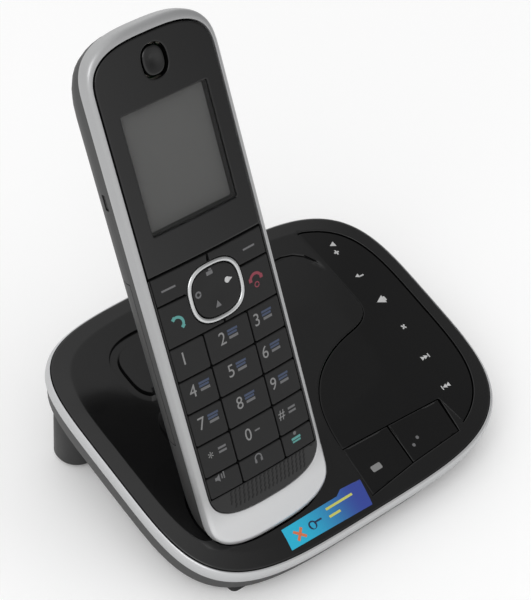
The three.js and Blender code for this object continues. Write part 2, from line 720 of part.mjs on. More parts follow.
const LEG_LOW = PAD_THICKNESS + GAP;
function buildRearStand() {
  const inner = LEG_OUTER_X - LEG_WIDTH;
  const leg = (x0, x1) => prism(
    roundedRect(x0, x1, LEG_REAR_Y - LEG_LENGTH, LEG_REAR_Y, LEG_ROUNDING), LEG_LOW, 60, 6,
  );
  let stand = sideProfile(roundedRect(LEG_REAR_Y - LEG_LENGTH + 2, LEG_REAR_Y - LEG_LENGTH + 7, 12, 60, 1.5), -inner - 1, inner + 1);
  stand = stand.add(leg(inner, LEG_OUTER_X)).add(leg(-LEG_OUTER_X, -inner));
  return stand.subtract(aboveCase);
}

function padAt(x, y, halfX, halfY, top) {
  return prism(roundedRect(x - halfX, x + halfX, y - halfY, y + halfY, 2), 0, top, 2);
}

function buildRearPad(side) {
  const x = side * (LEG_OUTER_X - LEG_WIDTH / 2);
  return padAt(x, LEG_REAR_Y - LEG_LENGTH / 2, LEG_WIDTH / 2 - 3, LEG_LENGTH / 2 - 3, PAD_THICKNESS);
}

function buildFrontPad(side) {
  return padAt(side * 44, -38, 9, 3.5, 12).subtract(aboveCase);
}

// ---------------------------------------------------------------- the scene
const FINISH = {
  gloss: { color: 0x0b0b0c, roughness: 0.12, metalness: 0 },
  key: { color: 0x2b2d30, roughness: 0.45, metalness: 0 },
  silver: { color: 0xc9cbcc, roughness: 0.3, metalness: 0.6 },
  shell: { color: 0x3a3c3f, roughness: 0.5, metalness: 0 },
  screen: { color: 0x54575a, roughness: 0.15, metalness: 0 },
  rubber: { color: 0x1c1c1d, roughness: 0.85, metalness: 0 },
  board: { color: 0x1f5a37, roughness: 0.5, metalness: 0 },
  metal: { color: 0xb8b4a8, roughness: 0.25, metalness: 1 },
  plastic: { color: 0x17181a, roughness: 0.55, metalness: 0 },
  cell: { color: 0x2f6f9e, roughness: 0.35, metalness: 0.3 },
};

function add(group, name, solid, finish) {
  const mesh = new THREE.Mesh(geometryOf(solid), new THREE.MeshStandardMaterial(FINISH[finish]));
  mesh.name = name;
  group.add(mesh);
}

const handset = new THREE.Group();
handset.applyMatrix4(handsetMatrix);
add(handset, 'handset_frame', buildFrame(), 'silver');
add(handset, 'handset_front_cover', buildFrontCover(), 'gloss');
add(handset, 'display_lens', buildLens(), 'gloss');
add(handset, 'lcd_module', buildLcd(), 'screen');
add(handset, 'earpiece_insert', buildEarpieceInsert(), 'gloss');
add(handset, 'earpiece_receiver', bar([0, EARPIECE_V, BOARD_TOP + GAP], [0, EARPIECE_V, COVER_LOW - GAP], 5.4, 20), 'metal');
add(handset, 'microphone', bar([3, 17.2, BOARD_TOP + GAP], [3, 17.2, COVER_LOW - GAP], 1.8, 16), 'metal');
add(handset, 'keypad_mat', buildMat(), 'rubber');
add(handset, 'handset_circuit_board', buildBoard(), 'board');
add(handset, 'handset_rear_cover', buildRearCover(), 'shell');
add(handset, 'battery_door', rearShell.intersect(doorBay(GAP)), 'shell');
add(handset, 'battery_tray', buildBatteryTray(), 'plastic');
add(handset, 'battery_left', buildCell(-1), 'cell');
add(handset, 'battery_right', buildCell(1), 'cell');
add(handset, 'handsfree_speaker', bar([0, 118, -19.6], [0, 118, BOARD_LOW - GAP], 8.5, 24), 'plastic');
add(handset, 'handset_contact_left', buildChargeContact(-1), 'metal');
add(handset, 'handset_contact_right', buildChargeContact(1), 'metal');
add(handset, 'headset_jack_cover', buildJackCover(), 'rubber');
add(handset, 'nav_ring', buildNavRing(), 'silver');
add(handset, 'nav_actuator', buildNavActuator(), 'plastic');
add(handset, 'nav_key', buildNavKey(), 'key');

const navHole = prism(navOuter(KEY_GAP), -20, 10);
const columns = [-KEYS_HALF_WIDTH, -COLUMN_LINE, COLUMN_LINE, KEYS_HALF_WIDTH];
const outer = KEYS_HALF_WIDTH;
add(handset, 'softkey_left', keyCap(-outer, 0, ROW_TOP.talk, ROW_TOP.soft).subtract(navHole), 'key');
add(handset, 'softkey_right', keyCap(0, outer, ROW_TOP.talk, ROW_TOP.soft).subtract(navHole), 'key');
add(handset, 'talk_key', keyCap(-outer, 0, ROW_TOP.digits, ROW_TOP.talk).subtract(navHole), 'key');
add(handset, 'off_key', keyCap(0, outer, ROW_TOP.digits, ROW_TOP.talk).subtract(navHole), 'key');
[['key_1', 'key_2', 'key_3'], ['key_4', 'key_5', 'key_6'], ['key_7', 'key_8', 'key_9'],
  ['key_star', 'key_0', 'key_hash']].forEach((row, r) => {
  const top = ROW_TOP.digits - r * DIGIT_PITCH;
  row.forEach((name, c) => {
    add(handset, name, keyCap(columns[c], columns[c + 1], top - DIGIT_PITCH, top), 'key');
  });
});
['key_mute', 'key_handsfree', 'key_message'].forEach((name, c) => {
  add(handset, name, keyCap(columns[c], columns[c + 1], KEYS_BOTTOM, ROW_TOP.bottom), 'key');
});

const base = new THREE.Group();
base.applyMatrix4(deckMatrix);
base.add(handset);
add(base, 'base_top_cover', buildTopCover(), 'gloss');
add(base, 'control_panel', topLayer(drawIn(PANEL, GAP), PANEL_SINK, PANEL_SINK + PANEL_THICKNESS), 'gloss');
add(base, 'locator_key', topLayer(drawIn(LOCATOR, KEY_GAP), BASE_KEY_SINK, BASE_KEY_DEPTH), 'gloss');
add(base, 'answer_key', topLayer(drawIn(ANSWER, KEY_GAP), BASE_KEY_SINK, BASE_KEY_DEPTH), 'gloss');
add(base, 'base_rim', buildRim(), 'silver');
add(base, 'base_lower_case', buildLowerCase(), 'shell');
add(base, 'cradle_pocket', buildCradle(), 'plastic');
add(base, 'charge_spring_left', buildChargeSpring(-1), 'metal');
add(base, 'charge_spring_right', buildChargeSpring(1), 'metal');
add(base, 'base_circuit_board', buildBaseBoard(), 'board');
add(base, 'base_speaker', buildBaseSpeaker(), 'plastic');
add(base, 'line_jack', buildLineJack(), 'plastic');
add(base, 'power_jack', buildPowerJack(), 'plastic');
SCREW_SPOTS.forEach((spot, i) => add(base, `base_screw_${i + 1}`, buildScrew(spot), 'metal'));

const phone = new THREE.Group();
phone.add(base);
add(phone, 'rear_stand', buildRearStand(), 'shell');
add(phone, 'foot_pad_front_left', buildFrontPad(-1), 'rubber');
add(phone, 'foot_pad_front_right', buildFrontPad(1), 'rubber');
add(phone, 'foot_pad_rear_left', buildRearPad(-1), 'rubber');
add(phone, 'foot_pad_rear_right', buildRearPad(1), 'rubber');

// centre the whole phone's box over the origin
phone.updateMatrixWorld(true);
const middle = new THREE.Box3().setFromObject(phone, true).getCenter(new THREE.Vector3());
phone.position.set(-middle.x, -middle.y, 0);

export default phone;
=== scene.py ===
"""Looks of a cordless telephone handset standing in its charging base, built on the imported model."""
import json
import math

import bpy
import numpy as np
from bpy.props import FloatProperty, FloatVectorProperty, IntProperty, PointerProperty
from bpy.types import Operator, Panel, PropertyGroup
from mathutils import Matrix, Vector
from mathutils.geometry import delaunay_2d_cdt


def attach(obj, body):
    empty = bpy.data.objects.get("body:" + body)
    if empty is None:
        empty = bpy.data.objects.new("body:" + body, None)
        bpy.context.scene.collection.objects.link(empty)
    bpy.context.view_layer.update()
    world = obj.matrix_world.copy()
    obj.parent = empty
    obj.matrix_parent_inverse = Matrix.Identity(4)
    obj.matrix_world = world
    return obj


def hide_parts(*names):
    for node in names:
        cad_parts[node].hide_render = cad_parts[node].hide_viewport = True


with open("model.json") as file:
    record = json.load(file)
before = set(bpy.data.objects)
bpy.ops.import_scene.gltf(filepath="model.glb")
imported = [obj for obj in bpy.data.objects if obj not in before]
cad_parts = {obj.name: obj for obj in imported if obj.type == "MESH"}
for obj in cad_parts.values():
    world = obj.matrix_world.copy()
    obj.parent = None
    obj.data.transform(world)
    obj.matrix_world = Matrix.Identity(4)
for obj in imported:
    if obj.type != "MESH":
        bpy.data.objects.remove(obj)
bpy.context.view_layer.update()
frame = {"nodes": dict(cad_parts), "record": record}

bl_info = {
    "name": "Cordless phone with base",
    "version": (1, 0, 0),
    "blender": (4, 5, 0),
    "location": "3D View > Sidebar > Cordless phone",
    "description": "Builds the shells, keys, printed marks and finishes of a cordless phone on its base",
    "category": "Object",
}

# ---------------------------------------------------------------- sizes of the phone, in millimetres
GAP = 0.3
KEY_GAP = 0.25
LINE_CLEARANCE = 0.3
BORDER = 0.35

# base, in the tilted frame of its top
CASE_HALF = (67.2, 52.5)
CASE_SQUARENESS = (4.05, 5.4, 4.25, 3.65)  # corners rear right, rear left, front left, front right
CASE_TILT = 15.0
DECK_ORIGIN = (0.0, -0.846, 27.3278)
BEVEL_WIDTH = 5.0
BEVEL_RISE = 1.0
TOP_CROWN = 1.9
CROWN_REACH = 28.0
TOP_WALL = 2.0
RIM_HEIGHT = 5.0
RIM_OVERHANG = 1.6
PANEL_SINK = 0.5
BASE_KEY_SINK = 0.3
STRIP_X = 42.2
PANEL_FRONT = -32.4
LOCATOR = ((0.1, -30.6), (-1.1, -48.6), (18.5, -46.4), (19.2, -31.3))
ANSWER = ((19.2, -31.3), (18.5, -46.4), (40.2, -45.2), (41.4, -32.2))
POD_CENTRE = (-30.0, 26.5)
POD_HALF = (15.3, 12.1)
POD_SQUARENESS = 3.0
GROOVE_DEPTH = 1.2
GROOVE_WIDE = 2.6
GROOVE_NARROW = 0.7
GROOVE_RUNOUT = 0.06
GROOVE_RIGHT = ((24, 39), (31, 38.8), (35, 37.6), (37.8, 35.3), (39.6, 31.8), (40.6, 27.6))
BACKREST = (  # left, right, front, rear, corner radius, height
    (-46.0, -23.0, -22.0, 12.0, 5.0, 0.0),
    (-45.5, -23.5, -22.0, 10.5, 5.0, 5.5),
    (-44.5, -24.5, -22.0, 7.0, 4.0, 9.35),
    (-42.5, -26.5, -22.0, 2.0, 3.0, 11.0),
)

# handset, in its own frame: u across, v up its length, w out of the face
SET_HALF_WIDTH = 23.3
SET_BOTTOM = 1.5
SET_LENGTH = 167.2
SET_THICKNESS = 22.0
SET_REACH_TOP = 17.0
SET_REACH_BOTTOM = 13.0
SET_SQUARENESS = 2.9
SET_LEAN = 48.5
SEAT = (-34.7, -42.8, 0.77)
FACE_RADIUS = 330.0
FRAME_LIP = 1.65
FRAME_LOW = -5.9
REAR_TOP = -6.2
CHIN = 12.6
CROWN_TOP = 2.9
FRAME_PROUD = 0.05
END_ROUNDING = 0.6
POCKET_CLEARANCE = 0.6
REAR_RINGS = (  # share of the depth, inset at the sides, at the bottom end and at the top end
    (0.00, 0.5, 0.5, 0.5), (0.20, 0.8, 1.2, 1.5), (0.35, 1.2, 2.1, 2.9), (0.48, 1.8, 3.6, 5.0),
    (0.62, 2.7, 5.7, 8.1), (0.74, 4.0, 8.5, 12.0), (0.83, 5.4, 11.3, 16.4), (0.90, 6.8, 14.0, 21.0),
    (0.96, 8.5, 17.5, 27.0), (1.00, 10.5, 22.0, 35.0),
)
COLUMN_LINE = 8.45
KEYS_HALF_WIDTH = 20.9
KEYS_BOTTOM = 21.4
DIGIT_PITCH = 10.9
DIGITS_BOTTOM = KEYS_BOTTOM + 7.4
TALK_BOTTOM = DIGITS_BOTTOM + 4 * DIGIT_PITCH
SOFT_BOTTOM = TALK_BOTTOM + 13.8
SOFT_TOP = SOFT_BOTTOM + 9.0
NAV_CENTRE = (0.0, SOFT_BOTTOM - 3.1)
NAV_HALF = (10.0, 9.25)
NAV_BAND = 1.25
NAV_SQUARENESS = 2.7
KEY_DEPTH = 3.0
LENS_BOTTOM = SOFT_TOP + 0.55
LENS_THICKNESS = 2.6
WINDOW_HALF = 15.7
WINDOW_LOW = 106.7
WINDOW_HIGH = 144.0
EARPIECE = (0.0, 155.4)
EARPIECE_HALF = (4.6, 5.3)


# ---------------------------------------------------------------- frames
def turned_about_x(degrees, origin):
    """4 x 4 matrix of a frame turned about X by an angle, its origin at a point."""
    return np.array(Matrix.Translation(origin) @ Matrix.Rotation(math.radians(degrees), 4, "X"))


DECK = turned_about_x(CASE_TILT, DECK_ORIGIN)
HANDSET = DECK @ turned_about_x(SET_LEAN, SEAT)


def in_row(points, place):
    """Points in a local frame, in millimetres, as points in the row frame, in metres."""
    points = np.asarray(points, float)
    return (points @ place[:3, :3].T + place[:3, 3]) * 0.001


# ---------------------------------------------------------------- outlines, as (count, 2) arrays
def signed_power(value, power):
    return np.sign(value) * np.abs(value) ** power


def superellipse(half_x, half_y, squareness, count, centre=(0.0, 0.0), start=0.0, end=2 * math.pi):
    """x = a * cos(t)^(2/n), y = b * sin(t)^(2/n), t going round from start to end, n the same or one for each quarter."""
    whole = abs(end - start - 2 * math.pi) < 1e-9
    t = np.linspace(start, end, count, endpoint=not whole)
    power = 2 / np.broadcast_to(squareness, 4)[(t // (math.pi / 2)).astype(int) % 4]
    return np.column_stack((
        centre[0] + half_x * signed_power(np.cos(t), power),
        centre[1] + half_y * signed_power(np.sin(t), power),
    ))


def rounded_rectangle(x0, x1, y0, y1, radius, steps=6):
    """Four quarter circles of one radius, joined by straight sides, anticlockwise."""
    t = np.linspace(0, math.pi / 2, steps)
    arc = np.column_stack((np.cos(t), np.sin(t))) * radius
    turn = np.array(((0.0, -1.0), (1.0, 0.0)))
    corners = np.array(((x1 - radius, y1 - radius), (x0 + radius, y1 - radius),
                        (x0 + radius, y0 + radius), (x1 - radius, y0 + radius)))
    return np.concatenate([corners[k] + arc @ np.linalg.matrix_power(turn, k).T for k in range(4)])


def bezier(a, b, c, d, count):
    """Cubic curve with control points a, b, c, d."""
    t = np.linspace(0, 1, count)[:, None]
    a, b, c, d = (np.array(p, float) for p in (a, b, c, d))
    return (1 - t) ** 3 * a + 3 * (1 - t) ** 2 * t * b + 3 * (1 - t) * t ** 2 * c + t ** 3 * d


def finely(loop, step):
    """The closed outline with every side cut into pieces no longer than a step."""
    loop = np.asarray(loop, float)
    ahead = np.roll(loop, -1, axis=0) - loop
    parts = np.maximum(np.ceil(np.hypot(*ahead.T) / step - 1e-9), 1).astype(int)
    which = np.repeat(np.arange(len(loop)), parts)
    share = (np.arange(len(which)) - np.repeat(np.cumsum(parts) - parts, parts)) / parts[which]
    return loop[which] + ahead[which] * share[:, None]


def area_of(loop):
    x, y = np.asarray(loop, float).T
    return 0.5 * np.sum(x * np.roll(y, -1) - np.roll(x, -1) * y)


def drawn_in(loop, distance):
    """A closed outline moved to its left by a distance, each corner along its mitre."""
    before = loop - np.roll(loop, 1, axis=0)
    after = np.roll(loop, -1, axis=0) - loop
    normals = [np.column_stack((-d[:, 1], d[:, 0])) / np.maximum(np.hypot(*d.T), 1e-9)[:, None] for d in (before, after)]
    total = normals[0] + normals[1]
    size = np.maximum((total ** 2).sum(1), 1.0)
    return loop + total * (2 * distance / size)[:, None]


def inside(points, loops):
    """Whether each point is inside an odd number of the closed outlines."""
    x, y = np.asarray(points, float).T
    crossings = np.zeros(len(x), int)
    for loop in loops:
        ax, ay = loop.T
        bx, by = np.roll(loop, -1, axis=0).T
        spans = (ay[None] > y[:, None]) != (by[None] > y[:, None])
        with np.errstate(divide="ignore", invalid="ignore"):
            at = ax[None] + (y[:, None] - ay[None]) * (bx - ax)[None] / (by - ay)[None]
        crossings += (spans & (x[:, None] < at)).sum(1)
    return crossings % 2 == 1


def distance_to(points, path, closed=False):
    """Distance from each point to the nearest side of a path, and how far along the path that is, from 0 to 1."""
    path = np.asarray(path, float)
    a = path if closed else path[:-1]
    b = np.roll(path, -1, axis=0) if closed else path[1:]
    ab = b - a
    ap = np.asarray(points, float)[:, None] - a[None]
    share = np.clip((ap * ab[None]).sum(2) / np.maximum((ab ** 2).sum(1), 1e-12), 0, 1)
    gap = np.linalg.norm(ap - share[:, :, None] * ab[None], axis=2)
    nearest = gap.argmin(1)
    rows = np.arange(len(gap))
    return gap[rows, nearest], (nearest + share[rows, nearest]) / len(a)


def set_outline(half_width, bottom, top, low_reach, high_reach, steps=36):
    """Handset outline: two straight sides between two ends, each end half a superellipse."""
    t = np.linspace(0, math.pi, steps)
    power = 2 / SET_SQUARENESS
    across = half_width * signed_power(np.cos(t), power)
    along = np.abs(np.sin(t)) ** power
    return np.concatenate((
        np.column_stack((across, top - high_reach + high_reach * along)),
        np.column_stack((-across, bottom + low_reach - low_reach * along)),
    ))


def handset_outline(inset, low=None, high=None):
    return set_outline(
        SET_HALF_WIDTH - inset, SET_BOTTOM + (inset if low is None else low), SET_LENGTH - (inset if high is None else high),
        SET_REACH_BOTTOM - 0.6 * inset, SET_REACH_TOP - 0.6 * inset,
    )


def face_outline(inset):
    return set_outline(
        SET_HALF_WIDTH - FRAME_LIP - inset, CHIN + inset, SET_LENGTH - CROWN_TOP - inset,
        SET_REACH_BOTTOM - FRAME_LIP - inset, SET_REACH_TOP - 2 * FRAME_LIP - inset,
    )


def nav_outline(grow, count=96):
    return superellipse(NAV_HALF[0] + grow, NAV_HALF[1] + grow, NAV_SQUARENESS, count, NAV_CENTRE)


def key_round_nav(u0, u1, v0, v1):
    """A rectangle whose corner nearest the navigation key is replaced by that key's outline."""
    corners = np.array(((u0, v0), (u1, v0), (u1, v1), (u0, v1)), float)
    lost = int(np.hypot(*(corners - NAV_CENTRE).T).argmin())
    angle = np.linspace(2.5 * math.pi, 0.5 * math.pi, 1441)
    ring = np.column_stack((
        (NAV_HALF[0] + KEY_GAP) * signed_power(np.cos(angle), 2 / NAV_SQUARENESS) + NAV_CENTRE[0],
        (NAV_HALF[1] + KEY_GAP) * signed_power(np.sin(angle), 2 / NAV_SQUARENESS) + NAV_CENTRE[1],
    ))
    held = (ring[:, 0] > u0) & (ring[:, 0] < u1) & (ring[:, 1] > v0) & (ring[:, 1] < v1)
    arc = ring[held][::8]
    order = [(lost + k) % 4 for k in (1, 2, 3)]
    return np.concatenate((corners[order], arc))


def panel_outline():
    """Control area: right strip inside the bevel, then the curve that bounds the handset's field."""
    outer = superellipse(CASE_HALF[0] - BEVEL_WIDTH, CASE_HALF[1] - BEVEL_WIDTH, CASE_SQUARENESS, 240)
    right = outer[outer[:, 0] > STRIP_X + 1]
    right = right[np.argsort(right[:, 1])]
    edge = np.concatenate((
        ((STRIP_X, right[-1, 1] + 0.3),),
        bezier((STRIP_X, 12), (STRIP_X, 6.5), (38.5, 4.2), (32, 3.2), 14),
        bezier((32, 3.2), (16, 0.7), (0.8, -8), (0.3, -30.8), 40)[1:],
        ((STRIP_X - 0.5, PANEL_FRONT),),
    ))
    return np.concatenate((edge, right))


def control_opening():
    """The opening in the top cover: the control area and both front keys together."""
    loop = panel_outline()
    cut = int(np.hypot(*(loop - (0.3, -30.8)).T).argmin())
    keys = np.array((LOCATOR[1], LOCATOR[2], ANSWER[2]))
    return np.concatenate((loop[:cut + 1], keys, loop[cut + 1:]))


# ---------------------------------------------------------------- heights
def crown(u, v=None):
    """The handset's face: a cylinder of large radius about its length."""
    return -u ** 2 / (2 * FACE_RADIUS)


def case_inset(x, y):
    """How far in from the base's edge: the d at which (|x|/(a-d))^n + (|y|/(b-d))^n = 1, by halving."""
    quarter = np.where(y >= 0, np.where(x >= 0, 0, 1), np.where(x < 0, 2, 3))
    power = np.array(CASE_SQUARENESS)[quarter]
    low = np.full(np.shape(x), -6.0)
    high = np.full(np.shape(x), CASE_HALF[1] - 0.01)
    for _ in range(44):
        middle = (low + high) / 2
        value = (np.abs(x) / (CASE_HALF[0] - middle)) ** power + (np.abs(y) / (CASE_HALF[1] - middle)) ** power
        low = np.where(value < 1, middle, low)
        high = np.where(value < 1, high, middle)
    return (low + high) / 2


def deck_top(x, y):
    """The base's top: a sloping band, then a dome that flattens towards the middle."""
    d = case_inset(x, y)
    share = np.clip((d - BEVEL_WIDTH) / CROWN_REACH, 0, 1)
    dome = BEVEL_RISE + TOP_CROWN * (1 - (1 - share) ** 1.25)
    band = BEVEL_RISE * (d - 0.6) / (BEVEL_WIDTH - 0.6)
    return np.where(d < BEVEL_WIDTH, band, dome)


def groove_path():
    """Centre line of the groove round the raised field, with its width at each point."""
    t = np.linspace(1.27 * math.pi, 0.5 * math.pi, 60)
    left = np.column_stack((
        POD_CENTRE[0] + POD_HALF[0] * signed_power(np.cos(t), 2 / POD_SQUARENESS),
        POD_CENTRE[1] + POD_HALF[1] * signed_power(np.sin(t), 2 / POD_SQUARENESS),
    ))
    right = np.array(GROOVE_RIGHT, float)
    path = np.concatenate((left, right))
    width = np.concatenate((np.full(len(left), GROOVE_WIDE), np.full(len(right), GROOVE_NARROW)))
    length = np.concatenate(((0,), np.cumsum(np.hypot(*np.diff(path, axis=0).T))))
    even = np.linspace(0, length[-1], 260)
    smooth = np.column_stack([np.interp(even, length, path[:, k]) for k in (0, 1)])
    return smooth, np.interp(even, length, width)


GROOVE, GROOVE_WIDTHS = groove_path()


def cover_top(x, y):
    """deck_top less the groove, whose flat floor rises in a short slope at each side."""
    gap, along = distance_to(np.column_stack((x, y)), GROOVE)
    half = np.interp(along, np.linspace(0, 1, len(GROOVE)), GROOVE_WIDTHS) / 2
    depth = GROOVE_DEPTH * (0.45 + 0.55 * np.clip(half / (GROOVE_WIDE / 2), 0, 1)) * np.clip((1 - along) / GROOVE_RUNOUT, 0, 1)
    slope = np.clip((half + 0.35 - gap) / 0.5, 0, 1)
    return deck_top(x, y) - depth * slope * slope * (3 - 2 * slope)


# ---------------------------------------------------------------- meshes
class Shape:
    """Points and faces of a closed surface in a local frame, in millimetres, with a material number for each face."""

    def __init__(self):
        self.points, self.faces, self.finishes, self.count = [], [], [], 0

    def add(self, points, faces, finish=0):
        points = np.asarray(points, float)
        faces = np.concatenate([
            np.asarray(f, int) if np.shape(f)[1] == 4 else np.column_stack((f, np.full(len(f), -1)))
            for f in faces if len(f)
        ])
        if enclosed(points, faces) < 0:
            faces = np.where(faces[:, 3:] < 0, faces[:, (2, 1, 0, 3)], faces[:, ::-1])
        self.points.append(points)
        self.faces.append(np.where(faces < 0, -1, faces + self.count))
        self.finishes.append(np.full(len(faces), finish))
        self.count += len(points)
        return self


def enclosed(points, faces):
    """Signed volume inside triangles and quads."""
    centre = points.mean(0)
    a, b, c = (points[faces[:, k]] - centre for k in (0, 1, 2))
    d = points[np.where(faces[:, 3] < 0, faces[:, 0], faces[:, 3])] - centre
    return (np.einsum("ij,ij->i", a, np.cross(b, c)) + np.einsum("ij,ij->i", a, np.cross(c, d))).sum() / 6


def as_object(name, shape, place, body, finishes, node=None, sharp=40.0):
    """A mesh object at the origin from a shape, with UV in hundredths of the local millimetres."""
    points = np.concatenate(shape.points)
    faces = np.concatenate(shape.faces)
    order = np.argsort(faces[:, 3] < 0, kind="stable")
    faces, marks = faces[order], np.concatenate(shape.finishes)[order]
    quads = int((faces[:, 3] >= 0).sum())
    corners = np.concatenate((faces[:quads].ravel(), faces[quads:, :3].ravel()))
    sizes = np.concatenate((np.full(quads, 4), np.full(len(faces) - quads, 3)))
    mesh = bpy.data.meshes.new(name)
    mesh.vertices.add(len(points))
    mesh.vertices.foreach_set("co", in_row(points, place).astype(np.float32).ravel())
    mesh.loops.add(len(corners))
    mesh.loops.foreach_set("vertex_index", corners.astype(np.int32))
    mesh.polygons.add(len(faces))
    mesh.polygons.foreach_set("loop_start", (np.cumsum(sizes) - sizes).astype(np.int32))
    mesh.polygons.foreach_set("material_index", marks.astype(np.int32))
    mesh.polygons.foreach_set("use_smooth", np.ones(len(faces), bool))
    uv = mesh.uv_layers.new(name="UVMap")
    uv.data.foreach_set("uv", (points[corners][:, :2] * 0.01).astype(np.float32).ravel())
    mesh.update(calc_edges=True)
    mesh.validate()
    mesh.set_sharp_from_angle(angle=math.radians(sharp))
    piece = bpy.data.objects.new(name, mesh)
    bpy.context.scene.collection.objects.link(piece)
    for finish in finishes:
        mesh.materials.append(bpy.data.materials[finish])
    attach(piece, body)
    if node:
        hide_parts(*([node] if isinstance(node, str) else node))
    return piece


def band(rows, wrap_rows=True, caps=False):
    """A profile carried round an outline: rows of points, (rows, columns, 3), joined to a closed skin."""
    rows = np.asarray(rows, float)
    count, columns = rows.shape[:2]
    index = np.arange(count * columns).reshape(count, columns)
    below = index if wrap_rows else index[:-1]
    above = np.roll(index, -1, axis=0) if wrap_rows else index[1:]
    quads = np.stack((below, np.roll(below, -1, axis=1), np.roll(above, -1, axis=1), above), axis=-1).reshape(-1, 4)
    points = rows.reshape(-1, 3)
    faces = [quads]
    if caps:
        points = np.concatenate((points, rows[:1].mean(1), rows[-1:].mean(1)))
        for ring, pole, flip in ((index[0], len(points) - 2, True), (index[-1], len(points) - 1, False)):
            fan = np.column_stack((ring, np.roll(ring, -1), np.full(columns, pole)))
            faces.append(fan[:, ::-1] if flip else fan)
    return points, faces


def at_height(loop, height):
    height = height(*loop.T) if callable(height) else np.full(len(loop), float(height))
    return np.column_stack((loop, height))


def slab(loops, top, floor, rounding=0.25, spacing=2.0, lines=(), rounds=3):
    """A plate inside the first outline and outside the rest. Its face is z = top(x, y) over a field of points,
    with a row of points along each line and just inside each outline, its edge a quarter circle of the given radius carried round each outline,
    its side runs down to z = floor."""
    outlines = [np.asarray(loop, float) for loop in loops]
    outlines = [loop if (area_of(loop) > 0) == (k == 0) else loop[::-1] for k, loop in enumerate(outlines)]
    inner = [drawn_in(loop, rounding) if rounding else loop for loop in outlines]
    low, high = inner[0].min(0), inner[0].max(0)
    across = np.arange(low[0], high[0] + spacing, spacing)
    up = np.arange(low[1], high[1] + spacing, spacing * 0.866)
    grid_x, grid_y = np.meshgrid(across, up)
    grid_x[1::2] += spacing / 2
    field = np.column_stack((grid_x.ravel(), grid_y.ravel()))
    for line in lines:
        field = field[distance_to_points(field, line) > 0.6 * spacing]
    field = field[clear_of(field, inner, 0.55 * spacing)]
    flat = np.concatenate(inner + [field])
    ends = np.cumsum([len(loop) for loop in inner])
    if rounding:
        borders = [drawn_in(loop, BORDER) for loop in inner]
        lines = [*lines, *(np.concatenate((border, border[:1])) for border in borders)]
    edges = [
        np.column_stack((np.arange(end - len(loop), end), np.roll(np.arange(end - len(loop), end), -1)))
        for loop, end in zip(inner, ends)
    ]
    for line in lines:
        kept = clear_of(line, inner, LINE_CLEARANCE)
        number = np.cumsum(kept) - 1 + len(flat)
        joined = kept[:-1] & kept[1:]
        edges.append(np.column_stack((number[:-1][joined], number[1:][joined])))
        flat = np.concatenate((flat, line[kept]))
    edges = np.concatenate(edges)
    out, _, triangles, origins, _, _ = delaunay_2d_cdt([Vector(p) for p in flat.tolist()], edges.tolist(), [], 0, 1e-7)
    sheet = np.array([tuple(p) for p in out])
    new_index = np.empty(len(flat), int)
    lengths = np.fromiter(map(len, origins), int)
    new_index[np.concatenate([np.asarray(o, int) for o in origins if len(o)])] = np.repeat(np.arange(len(out)), lengths)
    triangles = np.array(triangles, int)
    triangles = triangles[inside(sheet[triangles].mean(1), inner)]
    count = len(sheet)
    points = [at_height(sheet, top), at_height(sheet, floor)]
    faces = [triangles, triangles[:, ::-1] + count]
    used = 2 * count
    for loop, start in zip(outlines, ends - [len(loop) for loop in inner]):
        ring = new_index[np.arange(start, start + len(loop))]
        rows = [ring]
        turns = np.linspace(0, math.pi / 2, rounds + 1)[1:] if rounding else []
        for turn in turns:
            here = drawn_in(loop, rounding * (1 - math.sin(turn)))
            row = at_height(here, top)
            row[:, 2] -= rounding * (1 - math.cos(turn))
            points.append(row)
            rows.append(np.arange(used, used + len(loop)))
            used += len(loop)
        if rounding:
            points.append(at_height(loop, floor))
            rows.append(np.arange(used, used + len(loop)))
            used += len(loop)
        rows.append(ring + count)
        for one, two in zip(rows, rows[1:]):
            faces.append(np.column_stack((one, two, np.roll(two, -1), np.roll(one, -1))))
    return np.concatenate(points), faces


def distance_to_points(points, others):
    """Distance from each point to the nearest of some other points."""
    return np.hypot(points[:, None, 0] - others[None, :, 0], points[:, None, 1] - others[None, :, 1]).min(1)


def clear_of(points, loops, clearance):
    """Whether each point is inside the plate and further than a clearance from its outlines."""
    gaps = [distance_to(points, loop, closed=True)[0] for loop in loops]
    return inside(points, loops) & (np.min(gaps, axis=0) > clearance)


def handset_room(clearance):
    """The handset's whole space as two closed skins, grown by a clearance: the front band and the rear shell."""
    depth = SET_THICKNESS + REAR_TOP
    rear = [at_height(handset_outline(side - clearance, low - clearance, high - clearance), REAR_TOP - share * (depth + clearance))
            for share, side, low, high in REAR_RINGS][::-1]
    front = [at_height(handset_outline(inset - clearance), height) for inset, height in
             ((0.3, REAR_TOP - 0.1), (0.0, FRAME_LOW + 1.4), (0.0, -2.4), (0.6, clearance))]
    return [band(rear, False, True), band(front, False, True)]


def cut_with(piece, cutters, place):
    """Cuts closed skins out of a piece and leaves the result as its own mesh."""
    helpers = []
    for number, (points, faces) in enumerate(cutters):
        shape = Shape().add(points, faces)
        mesh = bpy.data.meshes.new(f"cutter_{number}")
        rows = np.concatenate(shape.faces)
        mesh.from_pydata(in_row(shape.points[0], place).tolist(), [], [[i for i in row if i >= 0] for row in rows.tolist()])
        helper = bpy.data.objects.new(mesh.name, mesh)
        bpy.context.scene.collection.objects.link(helper)
        helpers.append(helper)
        step = piece.modifiers.new(mesh.name, "BOOLEAN")
        step.operation, step.solver, step.object = "DIFFERENCE", "EXACT", helper
    bpy.context.view_layer.update()
    cut = bpy.data.meshes.new_from_object(piece.evaluated_get(bpy.context.evaluated_depsgraph_get()))
    piece.modifiers.clear()
    old, piece.data = piece.data, cut
    bpy.data.meshes.remove(old)
    for helper in helpers:
        bpy.data.meshes.remove(helper.data)
    cut.name = piece.name
    return piece


